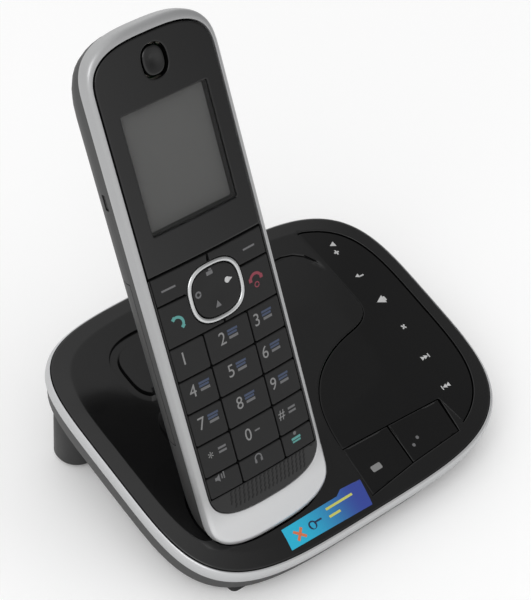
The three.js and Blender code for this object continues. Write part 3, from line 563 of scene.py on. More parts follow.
# ---------------------------------------------------------------- shared surface effects
def effect(name, inputs, outputs):
    """An empty shader node group with named sockets."""
    group = bpy.data.node_groups.new(name, "ShaderNodeTree")
    for label, kind, default in inputs:
        socket = group.interface.new_socket(name=label, in_out="INPUT", socket_type=kind)
        if default is not None:
            socket.default_value = default
    for label, kind in outputs:
        group.interface.new_socket(name=label, in_out="OUTPUT", socket_type=kind)
    return group, group.nodes.new("NodeGroupInput"), group.nodes.new("NodeGroupOutput")


def grain_effect():
    """Moulded grain: fine noise as a value from 0 to 1, and as a bumped normal."""
    group, source, result = effect(
        "Moulded grain",
        (("Coordinates", "NodeSocketVector", None), ("Scale", "NodeSocketFloat", 3000.0), ("Depth", "NodeSocketFloat", 0.1)),
        (("Grain", "NodeSocketFloat"), ("Normal", "NodeSocketVector")),
    )
    noise = group.nodes.new("ShaderNodeTexNoise")
    noise.inputs["Detail"].default_value = 3.0
    noise.inputs["Roughness"].default_value = 0.6
    bump = group.nodes.new("ShaderNodeBump")
    bump.inputs["Distance"].default_value = 0.00005
    link = group.links.new
    link(source.outputs["Coordinates"], noise.inputs["Vector"])
    link(source.outputs["Scale"], noise.inputs["Scale"])
    link(source.outputs["Depth"], bump.inputs["Strength"])
    link(noise.outputs["Fac"], bump.inputs["Height"])
    link(noise.outputs["Fac"], result.inputs["Grain"])
    link(bump.outputs["Normal"], result.inputs["Normal"])
    return group


def handling_effect():
    """Handling: wide soft smudges and sparse fine specks, as two masks."""
    group, source, result = effect(
        "Handling",
        (("Coordinates", "NodeSocketVector", None), ("Smudge scale", "NodeSocketFloat", 60.0), ("Speck scale", "NodeSocketFloat", 900.0)),
        (("Smudges", "NodeSocketFloat"), ("Specks", "NodeSocketFloat")),
    )
    smudge = group.nodes.new("ShaderNodeTexNoise")
    smudge.inputs["Detail"].default_value = 5.0
    soften = group.nodes.new("ShaderNodeMapRange")
    soften.inputs["From Min"].default_value = 0.35
    soften.inputs["From Max"].default_value = 0.75
    speck = group.nodes.new("ShaderNodeTexVoronoi")
    sparse = group.nodes.new("ShaderNodeMapRange")
    sparse.inputs["From Min"].default_value = 0.10
    sparse.inputs["From Max"].default_value = 0.02
    link = group.links.new
    link(source.outputs["Coordinates"], smudge.inputs["Vector"])
    link(source.outputs["Smudge scale"], smudge.inputs["Scale"])
    link(smudge.outputs["Fac"], soften.inputs["Value"])
    link(source.outputs["Coordinates"], speck.inputs["Vector"])
    link(source.outputs["Speck scale"], speck.inputs["Scale"])
    link(speck.outputs["Distance"], sparse.inputs["Value"])
    link(soften.outputs["Result"], result.inputs["Smudges"])
    link(sparse.outputs["Result"], result.inputs["Specks"])
    return group


class Finish:
    """One material under construction."""

    def __init__(self, name):
        self.material = bpy.data.materials.new(name)
        self.material.use_nodes = True
        self.nodes = self.material.node_tree.nodes
        self.link = self.material.node_tree.links.new
        self.shader = self.nodes["Principled BSDF"]
        self.coordinates = self.nodes.new("ShaderNodeTexCoord")

    def set(self, **values):
        for label, value in values.items():
            self.shader.inputs[label.replace("_", " ")].default_value = value
        return self

    def effect(self, group, source="Object", **values):
        node = self.nodes.new("ShaderNodeGroup")
        node.node_tree = group
        self.link(self.coordinates.outputs[source], node.inputs["Coordinates"])
        for label, value in values.items():
            node.inputs[label.replace("_", " ")].default_value = value
        return node

    def blend(self, mask, low, high, target):
        """A colour or value that goes from low to high with a mask."""
        if np.ndim(low):
            mix = self.nodes.new("ShaderNodeMix")
            mix.data_type = "RGBA"
            mix.inputs["A"].default_value = low
            mix.inputs["B"].default_value = high
            self.link(mask, mix.inputs["Factor"])
            out = mix.outputs["Result"]
        else:
            scale = self.nodes.new("ShaderNodeMapRange")
            scale.inputs["To Min"].default_value = low
            scale.inputs["To Max"].default_value = high
            self.link(mask, scale.inputs["Value"])
            out = scale.outputs["Result"]
        if target:
            self.link(out, self.shader.inputs[target])
        return out


def tint(colour, share=1.0):
    return tuple(c * share for c in colour[:3]) + (1.0,)


def gloss_finish(name, colour, grain, handling, roughness=0.10, level=0.5):
    """Polished moulding: faint smudges in the gloss, a few dust specks."""
    finish = Finish(name).set(Specular_IOR_Level=level)
    marks = finish.effect(handling)
    finish.blend(marks.outputs["Smudges"], roughness, roughness + 0.07, "Roughness")
    finish.blend(marks.outputs["Specks"], tint(colour), tint(colour, 2.2), "Base Color")
    wave = finish.effect(grain, Scale=420.0, Depth=0.04)
    finish.link(wave.outputs["Normal"], finish.shader.inputs["Normal"])


def satin_finish(name, colour, grain, roughness, scale, depth, spread=0.25, metallic=0.0, level=0.5):
    """Textured or painted surface: fine grain in colour, roughness and relief."""
    finish = Finish(name).set(Metallic=metallic, Specular_IOR_Level=level)
    texture = finish.effect(grain, Scale=scale, Depth=depth)
    finish.blend(texture.outputs["Grain"], tint(colour, 1 - spread), tint(colour, 1 + spread), "Base Color")
    finish.blend(texture.outputs["Grain"], roughness - 0.06, roughness + 0.06, "Roughness")
    finish.link(texture.outputs["Normal"], finish.shader.inputs["Normal"])
    return finish


def silver_finish(name, colour, grain):
    """Metallic paint with fine flake. The frame's bottom end keeps the full colour as painted light, and the rest of
    the frame is given 0.54 to 0.70 of it as painted shade.
    """
    finish = satin_finish(name, colour, grain, 0.36, 5200.0, 0.25, metallic=0.6)
    split = finish.nodes.new("ShaderNodeSeparateXYZ")
    finish.link(finish.coordinates.outputs["UV"], split.inputs["Vector"])
    # painted light: a mask that lightens the frame's bottom end, from v = 24 mm down to v = 10 mm, in place of its
    # brighter lighting
    painted_light_mask = finish.nodes.new("ShaderNodeMapRange")
    painted_light_mask.interpolation_type = "SMOOTHSTEP"
    painted_light_mask.inputs["From Min"].default_value = 0.24
    painted_light_mask.inputs["From Max"].default_value = 0.10
    finish.link(split.outputs["Y"], painted_light_mask.inputs["Value"])
    texture = finish.effect(grain, Scale=5200.0, Depth=0.0)
    # painted shade: the rest of the frame is darkened to 0.54 to 0.70 of the colour
    sides = finish.blend(texture.outputs["Grain"], tint(colour, 0.54), tint(colour, 0.70), None)
    whole = finish.nodes.new("ShaderNodeMix")
    whole.data_type = "RGBA"
    whole.inputs["B"].default_value = tint(colour)
    finish.link(painted_light_mask.outputs["Result"], whole.inputs["Factor"])
    finish.link(sides, whole.inputs["A"])
    finish.link(whole.outputs["Result"], finish.shader.inputs["Base Color"])


def display_finish(name, colour, grain):
    """Liquid crystal display: a fine grid of cells over grey, a little darker towards its bottom."""
    finish = Finish(name).set(Roughness=0.45, Specular_IOR_Level=0.25)
    split = finish.nodes.new("ShaderNodeSeparateXYZ")
    finish.link(finish.coordinates.outputs["UV"], split.inputs["Vector"])
    grid = []
    for axis in ("X", "Y"):
        wave = finish.nodes.new("ShaderNodeMath")
        wave.operation = "PINGPONG"
        wave.inputs[1].default_value = 0.0014
        finish.link(split.outputs[axis], wave.inputs[0])
        edge = finish.nodes.new("ShaderNodeMapRange")
        edge.inputs["From Max"].default_value = 0.0004
        finish.link(wave.outputs["Value"], edge.inputs["Value"])
        grid.append(edge.outputs["Result"])
    cell = finish.nodes.new("ShaderNodeMath")
    cell.operation = "MULTIPLY"
    finish.link(grid[0], cell.inputs[0])
    finish.link(grid[1], cell.inputs[1])
    shade = finish.blend(cell.outputs["Value"], tint(colour, 0.93), tint(colour, 1.0), None)
    fall = finish.nodes.new("ShaderNodeMapRange")
    fall.inputs["From Min"].default_value = 1.05
    fall.inputs["From Max"].default_value = 1.45
    fall.inputs["To Min"].default_value = 0.94
    fall.inputs["To Max"].default_value = 1.04
    finish.link(split.outputs["Y"], fall.inputs["Value"])
    whole = finish.nodes.new("ShaderNodeVectorMath")
    whole.operation = "SCALE"
    finish.link(shade, whole.inputs[0])
    finish.link(fall.outputs["Result"], whole.inputs["Scale"])
    finish.link(whole.outputs["Vector"], finish.shader.inputs["Base Color"])


def label_finish(name, left, right, grain):
    """Printed film: one colour runs into another across the label."""
    finish = Finish(name).set(Roughness=0.22, Specular_IOR_Level=0.35)
    split = finish.nodes.new("ShaderNodeSeparateXYZ")
    finish.link(finish.coordinates.outputs["UV"], split.inputs["Vector"])
    across = finish.nodes.new("ShaderNodeMapRange")
    across.interpolation_type = "SMOOTHSTEP"
    across.inputs["From Min"].default_value = -0.33
    across.inputs["From Max"].default_value = -0.05
    finish.link(split.outputs["X"], across.inputs["Value"])
    finish.blend(across.outputs["Result"], tint(left), tint(right), "Base Color")
    texture = finish.effect(grain, Scale=2500.0, Depth=0.05)
    finish.link(texture.outputs["Normal"], finish.shader.inputs["Normal"])


def board_finish(name, colour, grain):
    """Solder mask with straight copper runs under it."""
    finish = Finish(name).set(Roughness=0.35)
    brick = finish.nodes.new("ShaderNodeTexBrick")
    brick.inputs["Color1"].default_value = tint(colour, 1.5)
    brick.inputs["Color2"].default_value = tint(colour, 1.2)
    brick.inputs["Mortar"].default_value = tint(colour, 0.6)
    brick.inputs["Scale"].default_value = 220.0
    brick.inputs["Mortar Size"].default_value = 0.03
    finish.link(finish.coordinates.outputs["Object"], brick.inputs["Vector"])
    finish.link(brick.outputs["Color"], finish.shader.inputs["Base Color"])
    texture = finish.effect(grain, Scale=1800.0, Depth=0.1)
    finish.link(texture.outputs["Normal"], finish.shader.inputs["Normal"])


# ---------------------------------------------------------------- settings a user would change
def colour_setting(name, description, default):
    return FloatVectorProperty(name=name, description=description, default=default, subtype="COLOR", size=3, min=0.0, max=1.0)


def length_setting(name, description, default, top=0.002):
    return FloatProperty(name=name, description=description, default=default, min=0.0, max=top, precision=5, subtype="DISTANCE", unit="LENGTH")


class PhoneColours(PropertyGroup):
    gloss_black: colour_setting("Gloss black", "Polished parts of the base and the face", (0.003, 0.003, 0.0031))
    key_black: colour_setting("Key black", "Key caps", (0.010, 0.010, 0.0102))
    silver: colour_setting("Silver", "Painted frame of the handset", (0.66, 0.664, 0.67))
    rim_silver: colour_setting("Rim silver", "Painted rim of the base", (0.54, 0.545, 0.55))
    ring_silver: colour_setting("Ring silver", "Bright ring round the navigation key", (0.60, 0.607, 0.61))
    shell_grey: colour_setting("Shell grey", "Rear shell and stand", (0.020, 0.020, 0.020))
    case_grey: colour_setting("Case grey", "Lower case of the base", (0.040, 0.040, 0.040))
    display_grey: colour_setting("Display grey", "Display when off", (0.175, 0.175, 0.172))
    print_light: colour_setting("Light print", "Symbols on the base and the navigation key", (0.50, 0.50, 0.50))
    print_grey: colour_setting("Print grey", "Digits", (0.20, 0.20, 0.20))
    print_dim: colour_setting("Dim print", "Small grey marks", (0.12, 0.12, 0.124))
    print_blue: colour_setting("Blue print", "Small blue marks", (0.035, 0.052, 0.10))
    talk_green: colour_setting("Talk green", "Symbol on the talk key", (0.08, 0.28, 0.26))
    off_red: colour_setting("Off red", "Symbol on the off key", (0.22, 0.03, 0.05))
    label_left: colour_setting("Label left", "Left end of the label", (0.02, 0.42, 0.62))
    label_right: colour_setting("Label right", "Right end of the label", (0.035, 0.06, 0.30))


class PhoneSizes(PropertyGroup):
    frame_round: length_setting("Frame rounding", "Radius of the bright frame's outer edge at the sides", 0.00135)
    key_round: length_setting("Key rounding", "Radius of the keys' top edges", 0.00028)
    cover_round: length_setting("Cover rounding", "Radius of the covers' edges", 0.0003)
    mark_height: length_setting("Print height", "How far the print stands on a surface", 0.00003)
    digit_height: length_setting("Digit height", "Height of the printed digits", 0.004, 0.01)


class PhoneStudio(PropertyGroup):
    sky: FloatProperty(name="Sky", description="Level of the light from all round", default=0.82, min=0.0, max=2.0)
    lamp: FloatProperty(name="Lamp", description="Power of the large soft lamp", default=5.0, min=0.0, unit="POWER")
    floor_size: FloatProperty(name="Floor", description="Side of the floor", default=6.0, min=1.0, subtype="DISTANCE", unit="LENGTH")


class PhoneSettings(PropertyGroup):
    colours: PointerProperty(name="Colours", description="Colours of the finishes", type=PhoneColours)
    sizes: PointerProperty(name="Sizes", description="Small sizes of the edges and the print", type=PhoneSizes)
    studio: PointerProperty(name="Studio", description="Light and floor", type=PhoneStudio)


def settings():
    return bpy.context.scene.cordless_phone


# ---------------------------------------------------------------- operators
class PHONE_OT_finishes(Operator):
    """Makes every material of the phone"""
    bl_idname = "phone.finishes"
    bl_label = "Finishes"

    def execute(self, context):
        c = settings().colours
        for plain in list(bpy.data.materials):
            bpy.data.materials.remove(plain)
        grain, handling = grain_effect(), handling_effect()
        gloss_finish("gloss_black", c.gloss_black, grain, handling)
        gloss_finish("lens_black", c.gloss_black, grain, handling, roughness=0.06)
        gloss_finish("panel_black", c.gloss_black, grain, handling, roughness=0.09, level=0.34)
        satin_finish("key_black", c.key_black, grain, 0.5, 2600.0, 0.3, level=0.3)
        silver_finish("silver", c.silver, grain)
        satin_finish("rim_silver", c.rim_silver, grain, 0.34, 5200.0, 0.25, spread=0.10, metallic=0.6)
        satin_finish("bright_ring", c.ring_silver, grain, 0.18, 2400.0, 0.05, spread=0.03, metallic=0.9)
        satin_finish("dark_grey", c.shell_grey, grain, 0.52, 1900.0, 0.5)
        satin_finish("case_grey", c.case_grey, grain, 0.52, 1900.0, 0.5)
        satin_finish("inner_plastic", (0.014, 0.014, 0.015), grain, 0.55, 1900.0, 0.4)
        satin_finish("rubber", (0.016, 0.016, 0.016), grain, 0.8, 1500.0, 0.6)
        satin_finish("contact_metal", (0.60, 0.57, 0.50), grain, 0.28, 3800.0, 0.12, spread=0.06, metallic=1.0)
        satin_finish("cell", (0.05, 0.20, 0.40), grain, 0.3, 900.0, 0.05, spread=0.08)
        satin_finish("print_light", c.print_light, grain, 0.5, 3600.0, 0.1, spread=0.08)
        satin_finish("print_grey", c.print_grey, grain, 0.5, 3600.0, 0.1, spread=0.08)
        satin_finish("print_dim", c.print_dim, grain, 0.5, 3600.0, 0.1, spread=0.12)
        satin_finish("print_blue", c.print_blue, grain, 0.5, 3600.0, 0.1, spread=0.15)
        satin_finish("talk_green", c.talk_green, grain, 0.5, 3600.0, 0.1, spread=0.1)
        satin_finish("off_red", c.off_red, grain, 0.5, 3600.0, 0.1, spread=0.1)
        satin_finish("label_yellow", (0.55, 0.55, 0.12), grain, 0.3, 3600.0, 0.1, spread=0.1)
        satin_finish("label_orange", (0.62, 0.16, 0.06), grain, 0.3, 3600.0, 0.1, spread=0.1)
        satin_finish("label_dark", (0.01, 0.02, 0.06), grain, 0.3, 3600.0, 0.1, spread=0.1)
        display_finish("display", c.display_grey, grain)
        label_finish("label_film", c.label_left, c.label_right, grain)
        board_finish("board", (0.03, 0.14, 0.06), grain)
        glass = Finish("display_glass").set(Base_Color=(0.01, 0.01, 0.01, 1.0), Alpha=0.16)
        marks = glass.effect(handling)
        glass.blend(marks.outputs["Smudges"], 0.05, 0.12, "Roughness")
        return {"FINISHED"}


class PHONE_OT_carried_over(Operator):
    """Finishes the nodes whose shape is carried over from the model: smooth shading, small bevels and materials"""
    bl_idname = "phone.carried_over"
    bl_label = "Carried-over nodes"

    def execute(self, context):
        smooth = self.smoothing()
        finishes = {m["slot"] for m in frame["record"]["materials"]}
        slots = {part["node"]: part["material_slot"] for part in frame["record"]["subparts"]}
        special = {"base_lower_case": "case_grey"}
        bevelled = {"rear_stand": 0.0008, "line_jack": 0.0003, "power_jack": 0.0003, "headset_jack_cover": 0.00025}
        for name, node in frame["nodes"].items():
            finish = slots[name]
            if finish not in finishes:
                raise RuntimeError(f"{name} has no finish")
            node.data.materials.clear()
            node.data.materials.append(bpy.data.materials[special.get(name, finish)])
            weld = node.modifiers.new("Weld", "WELD")
            weld.merge_threshold = 0.000004
            if name in bevelled:
                bevel = node.modifiers.new("Bevel", "BEVEL")
                bevel.width, bevel.segments, bevel.limit_method, bevel.angle_limit = bevelled[name], 2, "ANGLE", math.radians(40)
            node.modifiers.new("Smooth by angle", "NODES").node_group = smooth
        return {"FINISHED"}

    def smoothing(self):
        """Smooth faces, with edges over a limit angle kept sharp."""
        group = bpy.data.node_groups.new("Smooth by angle", "GeometryNodeTree")
        group.interface.new_socket(name="Geometry", in_out="INPUT", socket_type="NodeSocketGeometry")
        group.interface.new_socket(name="Geometry", in_out="OUTPUT", socket_type="NodeSocketGeometry")
        source, result = group.nodes.new("NodeGroupInput"), group.nodes.new("NodeGroupOutput")
        faces = group.nodes.new("GeometryNodeSetShadeSmooth")
        edges = group.nodes.new("GeometryNodeSetShadeSmooth")
        edges.domain = "EDGE"
        angle = group.nodes.new("GeometryNodeInputMeshEdgeAngle")
        low = group.nodes.new("ShaderNodeMath")
        low.operation = "LESS_THAN"
        low.inputs[1].default_value = math.radians(32)
        group.links.new(source.outputs[0], faces.inputs["Geometry"])
        group.links.new(faces.outputs["Geometry"], edges.inputs["Geometry"])
        group.links.new(angle.outputs["Unsigned Angle"], low.inputs[0])
        group.links.new(low.outputs["Value"], edges.inputs["Shade Smooth"])
        group.links.new(edges.outputs["Geometry"], result.inputs[0])
        return group


class PHONE_OT_handset_shell(Operator):
    """Builds the handset's bright frame, black face, lens, display and earpiece"""
    bl_idname = "phone.handset_shell"
    bl_label = "Handset shell"

    def execute(self, context):
        sizes = settings().sizes
        self.frame(sizes.frame_round * 1000)
        self.face(sizes.cover_round * 1000)
        self.lens(sizes.cover_round * 1000)
        return {"FINISHED"}

    def frame(self, radius):
        """The frame: a profile carried round the outline, up the side, round the edge, across the face and down inside."""
        rows = [at_height(handset_outline(inset), FRAME_LOW + rise) for inset, rise in ((0.25, 0.0), (0.06, 0.8), (0.0, 1.5))]
        outer, face = handset_outline(0), face_outline(-0.2)
        u, v = outer.T
        ends = np.clip((SET_BOTTOM + 9 - v) / 9, 0, 1) + np.clip((v - SET_LENGTH + 9) / 9, 0, 1)
        round_here = radius * (1 + END_ROUNDING * ends * ends * (3 - 2 * ends))
        for turn in np.linspace(0, math.pi / 2, 9):
            loop = drawn_in(outer, round_here * (1 - math.cos(turn)))
            rows.append(np.column_stack((loop, crown(loop[:, 0]) + FRAME_PROUD - round_here * (1 - math.sin(turn)))))
        edge = drawn_in(outer, round_here)
        for share in np.linspace(0, 1, 7)[1:]:
            rows.append(at_height(edge + (face - edge) * share, lambda u, v: crown(u) + FRAME_PROUD))
        rows.append(at_height(face_outline(-0.06), lambda u, v: crown(u)))
        rows.append(at_height(face_outline(0), lambda u, v: crown(u) - 0.1))
        rows.append(at_height(face_outline(0), FRAME_LOW))
        shape = Shape().add(*band(rows))
        as_object("handset_bright_frame", shape, HANDSET, "handset", ["silver"], "handset_frame", 50)

    def face(self, radius):
        """The black face below the lens: a U round the keys, and its sound slots as small slanted bars."""
        outer = face_outline(GAP)
        top = SOFT_TOP - 0.1
        lower = outer[outer[:, 1] < 60]
        lower = lower[np.argsort(np.arctan2(lower[:, 0], 40 - lower[:, 1]))]
        edge, side = KEYS_HALF_WIDTH, abs(lower[0, 0])
        loop = np.concatenate((((-side, top),), lower, ((side, top), (edge, top), (edge, KEYS_BOTTOM), (-edge, KEYS_BOTTOM), (-edge, top))))
        points, faces = slab([finely(loop, 3.0)], crown, -4.4, 0.15, 1.6)
        shape = Shape().add(points, faces)
        rows, columns = 4, 19
        for row in range(rows):
            for column in range(columns):
                u = (column - (columns - 1) / 2) * 1.62 + 0.3 * row
                v = 15.9 + row * 1.5
                lean = np.array(((0.32, 0.62), (-0.32, -0.62)))
                wide = np.array((0.2, -0.1))
                bar = np.array((lean[1] - wide, lean[1] + wide, lean[0] + wide, lean[0] - wide)) + (u, v)
                if not inside(bar, [face_outline(1.1)]).all():
                    continue
                ridge = [at_height(bar, -0.6), at_height(bar, lambda a, b: crown(a) + 0.1), at_height(bar + (bar.mean(0) - bar) * 0.5, lambda a, b: crown(a) + 0.2)]
                shape.add(*band(ridge, False, True), finish=1)
        as_object("handset_face", shape, HANDSET, "handset", ["lens_black", "key_black"], "handset_front_cover")

    def lens(self, radius):
        """The lens over the display, the clear window in it, the display below, and the earpiece."""
        outer = face_outline(2 * GAP)
        upper = outer[outer[:, 1] > 100]
        upper = upper[np.argsort(np.arctan2(upper[:, 1] - 120, upper[:, 0]))]
        side = abs(upper[0, 0])
        loop = finely(np.concatenate((((-side, LENS_BOTTOM), (side, LENS_BOTTOM)), upper)), 3.0)
        window = finely(rounded_rectangle(-WINDOW_HALF, WINDOW_HALF, WINDOW_LOW, WINDOW_HIGH, 0.7), 3.0)
        oval = superellipse(*EARPIECE_HALF, 2.4, 72, EARPIECE)
        shape = Shape().add(*slab([loop, window, oval], crown, -LENS_THICKNESS, 0.22, 2.4))
        as_object("lens_surround", shape, HANDSET, "handset", ["lens_black"], "display_lens")
        pane = finely(rounded_rectangle(-WINDOW_HALF + 0.12, WINDOW_HALF - 0.12, WINDOW_LOW + 0.12, WINDOW_HIGH - 0.12, 0.6), 3.0)
        shape = Shape().add(*slab([pane], lambda u, v: crown(u) - 0.04, lambda u, v: crown(u) - 0.9, 0.1, 2.6))
        as_object("display_window", shape, HANDSET, "handset", ["display_glass"], None)
        panel = finely(rounded_rectangle(-WINDOW_HALF - 1.2, WINDOW_HALF + 1.2, WINDOW_LOW - 1.2, WINDOW_HIGH + 1.2, 0.3, 3), 4.0)
        shape = Shape().add(*slab([panel], lambda u, v: u * 0 - 2.7, -7.0, 0.1, 5.0))
        as_object("display_panel", shape, HANDSET, "handset", ["display"], "lcd_module")
        surround = [at_height(rounded_rectangle(-WINDOW_HALF + i, WINDOW_HALF - i, WINDOW_LOW + i, WINDOW_HIGH - i, 0.7), z)
                    for i, z in ((0.05, -2.65), (0.05, -1.25), (0.35, -1.25), (0.75, -2.65))]
        as_object("display_bezel", Shape().add(*band(surround)), HANDSET, "handset", ["dark_grey"], None)
        plug = superellipse(EARPIECE_HALF[0] - 0.8, EARPIECE_HALF[1] - 0.8, 2.4, 72, EARPIECE)
        dish = lambda u, v: crown(u) - 0.35 - 0.35 * np.exp(-((u - EARPIECE[0]) ** 2 + (v - EARPIECE[1]) ** 2) / 4.5)
        shape = Shape().add(*slab([plug], dish, -LENS_THICKNESS, 0.7, 0.7, rounds=5))
        as_object("earpiece_cap", shape, HANDSET, "handset", ["lens_black"], "earpiece_insert")


KEY_ROWS = (
    ("key_1", "key_2", "key_3"), ("key_4", "key_5", "key_6"), ("key_7", "key_8", "key_9"), ("key_star", "key_0", "key_hash"),
)
COLUMNS = (-KEYS_HALF_WIDTH, -COLUMN_LINE, COLUMN_LINE, KEYS_HALF_WIDTH)


DIGIT_COLUMNS = (-16.9, -2.5, 11.0)
MARK_COLUMNS = (-12.5, 1.6, 15.2)
KEY_PRINTS = ("print_grey", "print_dim", "print_blue", "talk_green", "off_red", "print_light")


def key_spans():
    """Each plain key's rectangle: left, right, bottom, top."""
    spans = {}
    for r, names in enumerate(KEY_ROWS):
        top = TALK_BOTTOM - r * DIGIT_PITCH
        for c, name in enumerate(names):
            spans[name] = (COLUMNS[c], COLUMNS[c + 1], top - DIGIT_PITCH, top)
    for c, name in enumerate(("key_mute", "key_handsfree", "key_message")):
        spans[name] = (COLUMNS[c], COLUMNS[c + 1], KEYS_BOTTOM, DIGITS_BOTTOM)
    return spans


def key_top(u, v):
    return crown(u) + 0.05


class PHONE_OT_keypad(Operator):
    """Builds the handset's key caps, the navigation key and its bright ring"""
    bl_idname = "phone.keypad"
    bl_label = "Keypad"

    def execute(self, context):
        rounding = settings().sizes.key_round * 1000
        for name, (u0, u1, v0, v1) in key_spans().items():
            loop = rounded_rectangle(u0 + KEY_GAP, u1 - KEY_GAP, v0 + KEY_GAP, v1 - KEY_GAP, 0.6)
            self.cap(name, loop, rounding)
        half = KEYS_HALF_WIDTH
        around = {
            "softkey_left": (-half, 0, SOFT_BOTTOM, SOFT_TOP), "softkey_right": (0, half, SOFT_BOTTOM, SOFT_TOP),
            "talk_key": (-half, 0, TALK_BOTTOM, SOFT_BOTTOM), "off_key": (0, half, TALK_BOTTOM, SOFT_BOTTOM),
        }
        for name, (u0, u1, v0, v1) in around.items():
            self.cap(name, key_round_nav(u0 + KEY_GAP, u1 - KEY_GAP, v0 + KEY_GAP, v1 - KEY_GAP), rounding)
        disc = nav_outline(-NAV_BAND - 0.35)
        dish = lambda u, v: crown(u) + 0.15 - 0.22 * np.exp(-((u - NAV_CENTRE[0]) ** 2 + (v - NAV_CENTRE[1]) ** 2) / 14)
        shape = Shape().add(*slab([disc], dish, -1.9, 0.35, 1.2, rounds=4))
        as_object("nav_key_cap", shape, HANDSET, "nav_key", ["key_black"], "nav_key")
        rows = [at_height(nav_outline(0), -KEY_DEPTH)]
        outer, inner = nav_outline(0), nav_outline(-NAV_BAND)
        for turn in np.linspace(0, math.pi, 11):
            across = (1 - math.cos(turn)) / 2
            rows.append(at_height(outer + (inner - outer) * across, lambda u, v, t=turn: crown(u) - 0.1 + 0.45 * math.sin(t)))
        rows.append(at_height(inner, -KEY_DEPTH))
        as_object("nav_bright_ring", Shape().add(*band(rows)), HANDSET, "handset", ["bright_ring"], "nav_ring")
        return {"FINISHED"}

    def cap(self, name, loop, rounding):
        """One cap: a rounded edge carried round the outline, its top on the face's crown."""
        shape = Shape().add(*slab([finely(loop, 2.4)], key_top, -KEY_DEPTH, rounding, 2.4))
        as_object(name + "_cap", shape, HANDSET, name, ["key_black"], name)


# printed marks, each a list of closed outlines about (0, 0), in millimetres
def bar_mark(width, height, at=(0, 0), lean=0.0):
    x, y = width / 2, height / 2
    loop = np.array(((-x, -y), (x, -y), (x, y), (-x, y)), float)
    loop[:, 0] += loop[:, 1] * lean
    return [loop + at]


def disc_mark(radius, at=(0, 0), squash=1.0):
    return [superellipse(radius, radius * squash, 2, 20, at)]


def arc_mark(radius, width, start, end, at=(0, 0), count=12):
    t = np.radians(np.linspace(start, end, count))
    ring = np.column_stack((np.cos(t), np.sin(t)))
    return [np.concatenate((ring * (radius + width / 2), ring[::-1] * (radius - width / 2))) + at]


def turned(loops, degrees, at=(0, 0)):
    a = math.radians(degrees)
    turn = np.array(((math.cos(a), -math.sin(a)), (math.sin(a), math.cos(a))))
    return [np.asarray(loop) @ turn.T + at for loop in loops]


def triangle_mark(size, degrees=0, at=(0, 0)):
    return turned([np.array(((-0.5, -0.55), (0.6, 0), (-0.5, 0.55))) * size], degrees, at)


def receiver_mark(size, degrees, at=(0, 0)):
    """A telephone receiver: a thick arc with a block at each end."""
    bow = arc_mark(0.62, 0.26, 25, 155)
    ends = bar_mark(0.34, 0.36, (-0.60, 0.16)) + bar_mark(0.34, 0.36, (0.60, 0.16))
    return turned([loop * size for loop in bow + ends], degrees, at)


def lift_mark(shape, loops, top, height, finish=0):
    """Adds each outline to a shape as a film of the given height on a surface."""
    for loop in loops:
        loop = finely(loop if area_of(loop) > 0 else loop[::-1], 1.2)
        points, faces = slab([loop], lambda x, y: top(x, y) + height, lambda x, y: top(x, y) - 0.02, 0, 50.0)
        shape.add(points, faces, finish)


def lift_text(shape, text, height_of_text, at, top, height, finish=0):
    """Adds a character to a shape as a film, its middle at a point."""
    curve = bpy.data.curves.new("character", "FONT")
    curve.body, curve.align_x, curve.align_y, curve.size = text, "CENTER", "CENTER", 1.0
    curve.extrude, curve.resolution_u = 0.5, 4
    holder = bpy.data.objects.new("character", curve)
    bpy.context.scene.collection.objects.link(holder)
    bpy.context.view_layer.update()
    mesh = bpy.data.meshes.new_from_object(holder.evaluated_get(bpy.context.evaluated_depsgraph_get()))
    mesh.calc_loop_triangles()
    points = np.empty(len(mesh.vertices) * 3, np.float32)
    mesh.vertices.foreach_get("co", points)
    triangles = np.empty(len(mesh.loop_triangles) * 3, np.int32)
    mesh.loop_triangles.foreach_get("vertices", triangles)
    points = points.reshape(-1, 3).astype(float)
    low, high = points.min(0), points.max(0)
    scale = height_of_text / (high[1] - low[1])
    flat = (points[:, :2] - (low + high)[:2] / 2) * scale * (0.92, 1.0) + at
    level = top(*flat.T) + np.where(points[:, 2] > 0, height, -0.02)
    shape.add(np.column_stack((flat, level)), [triangles.reshape(-1, 3)], finish)
    bpy.data.objects.remove(holder)
    bpy.data.curves.remove(curve)
    bpy.data.meshes.remove(mesh)


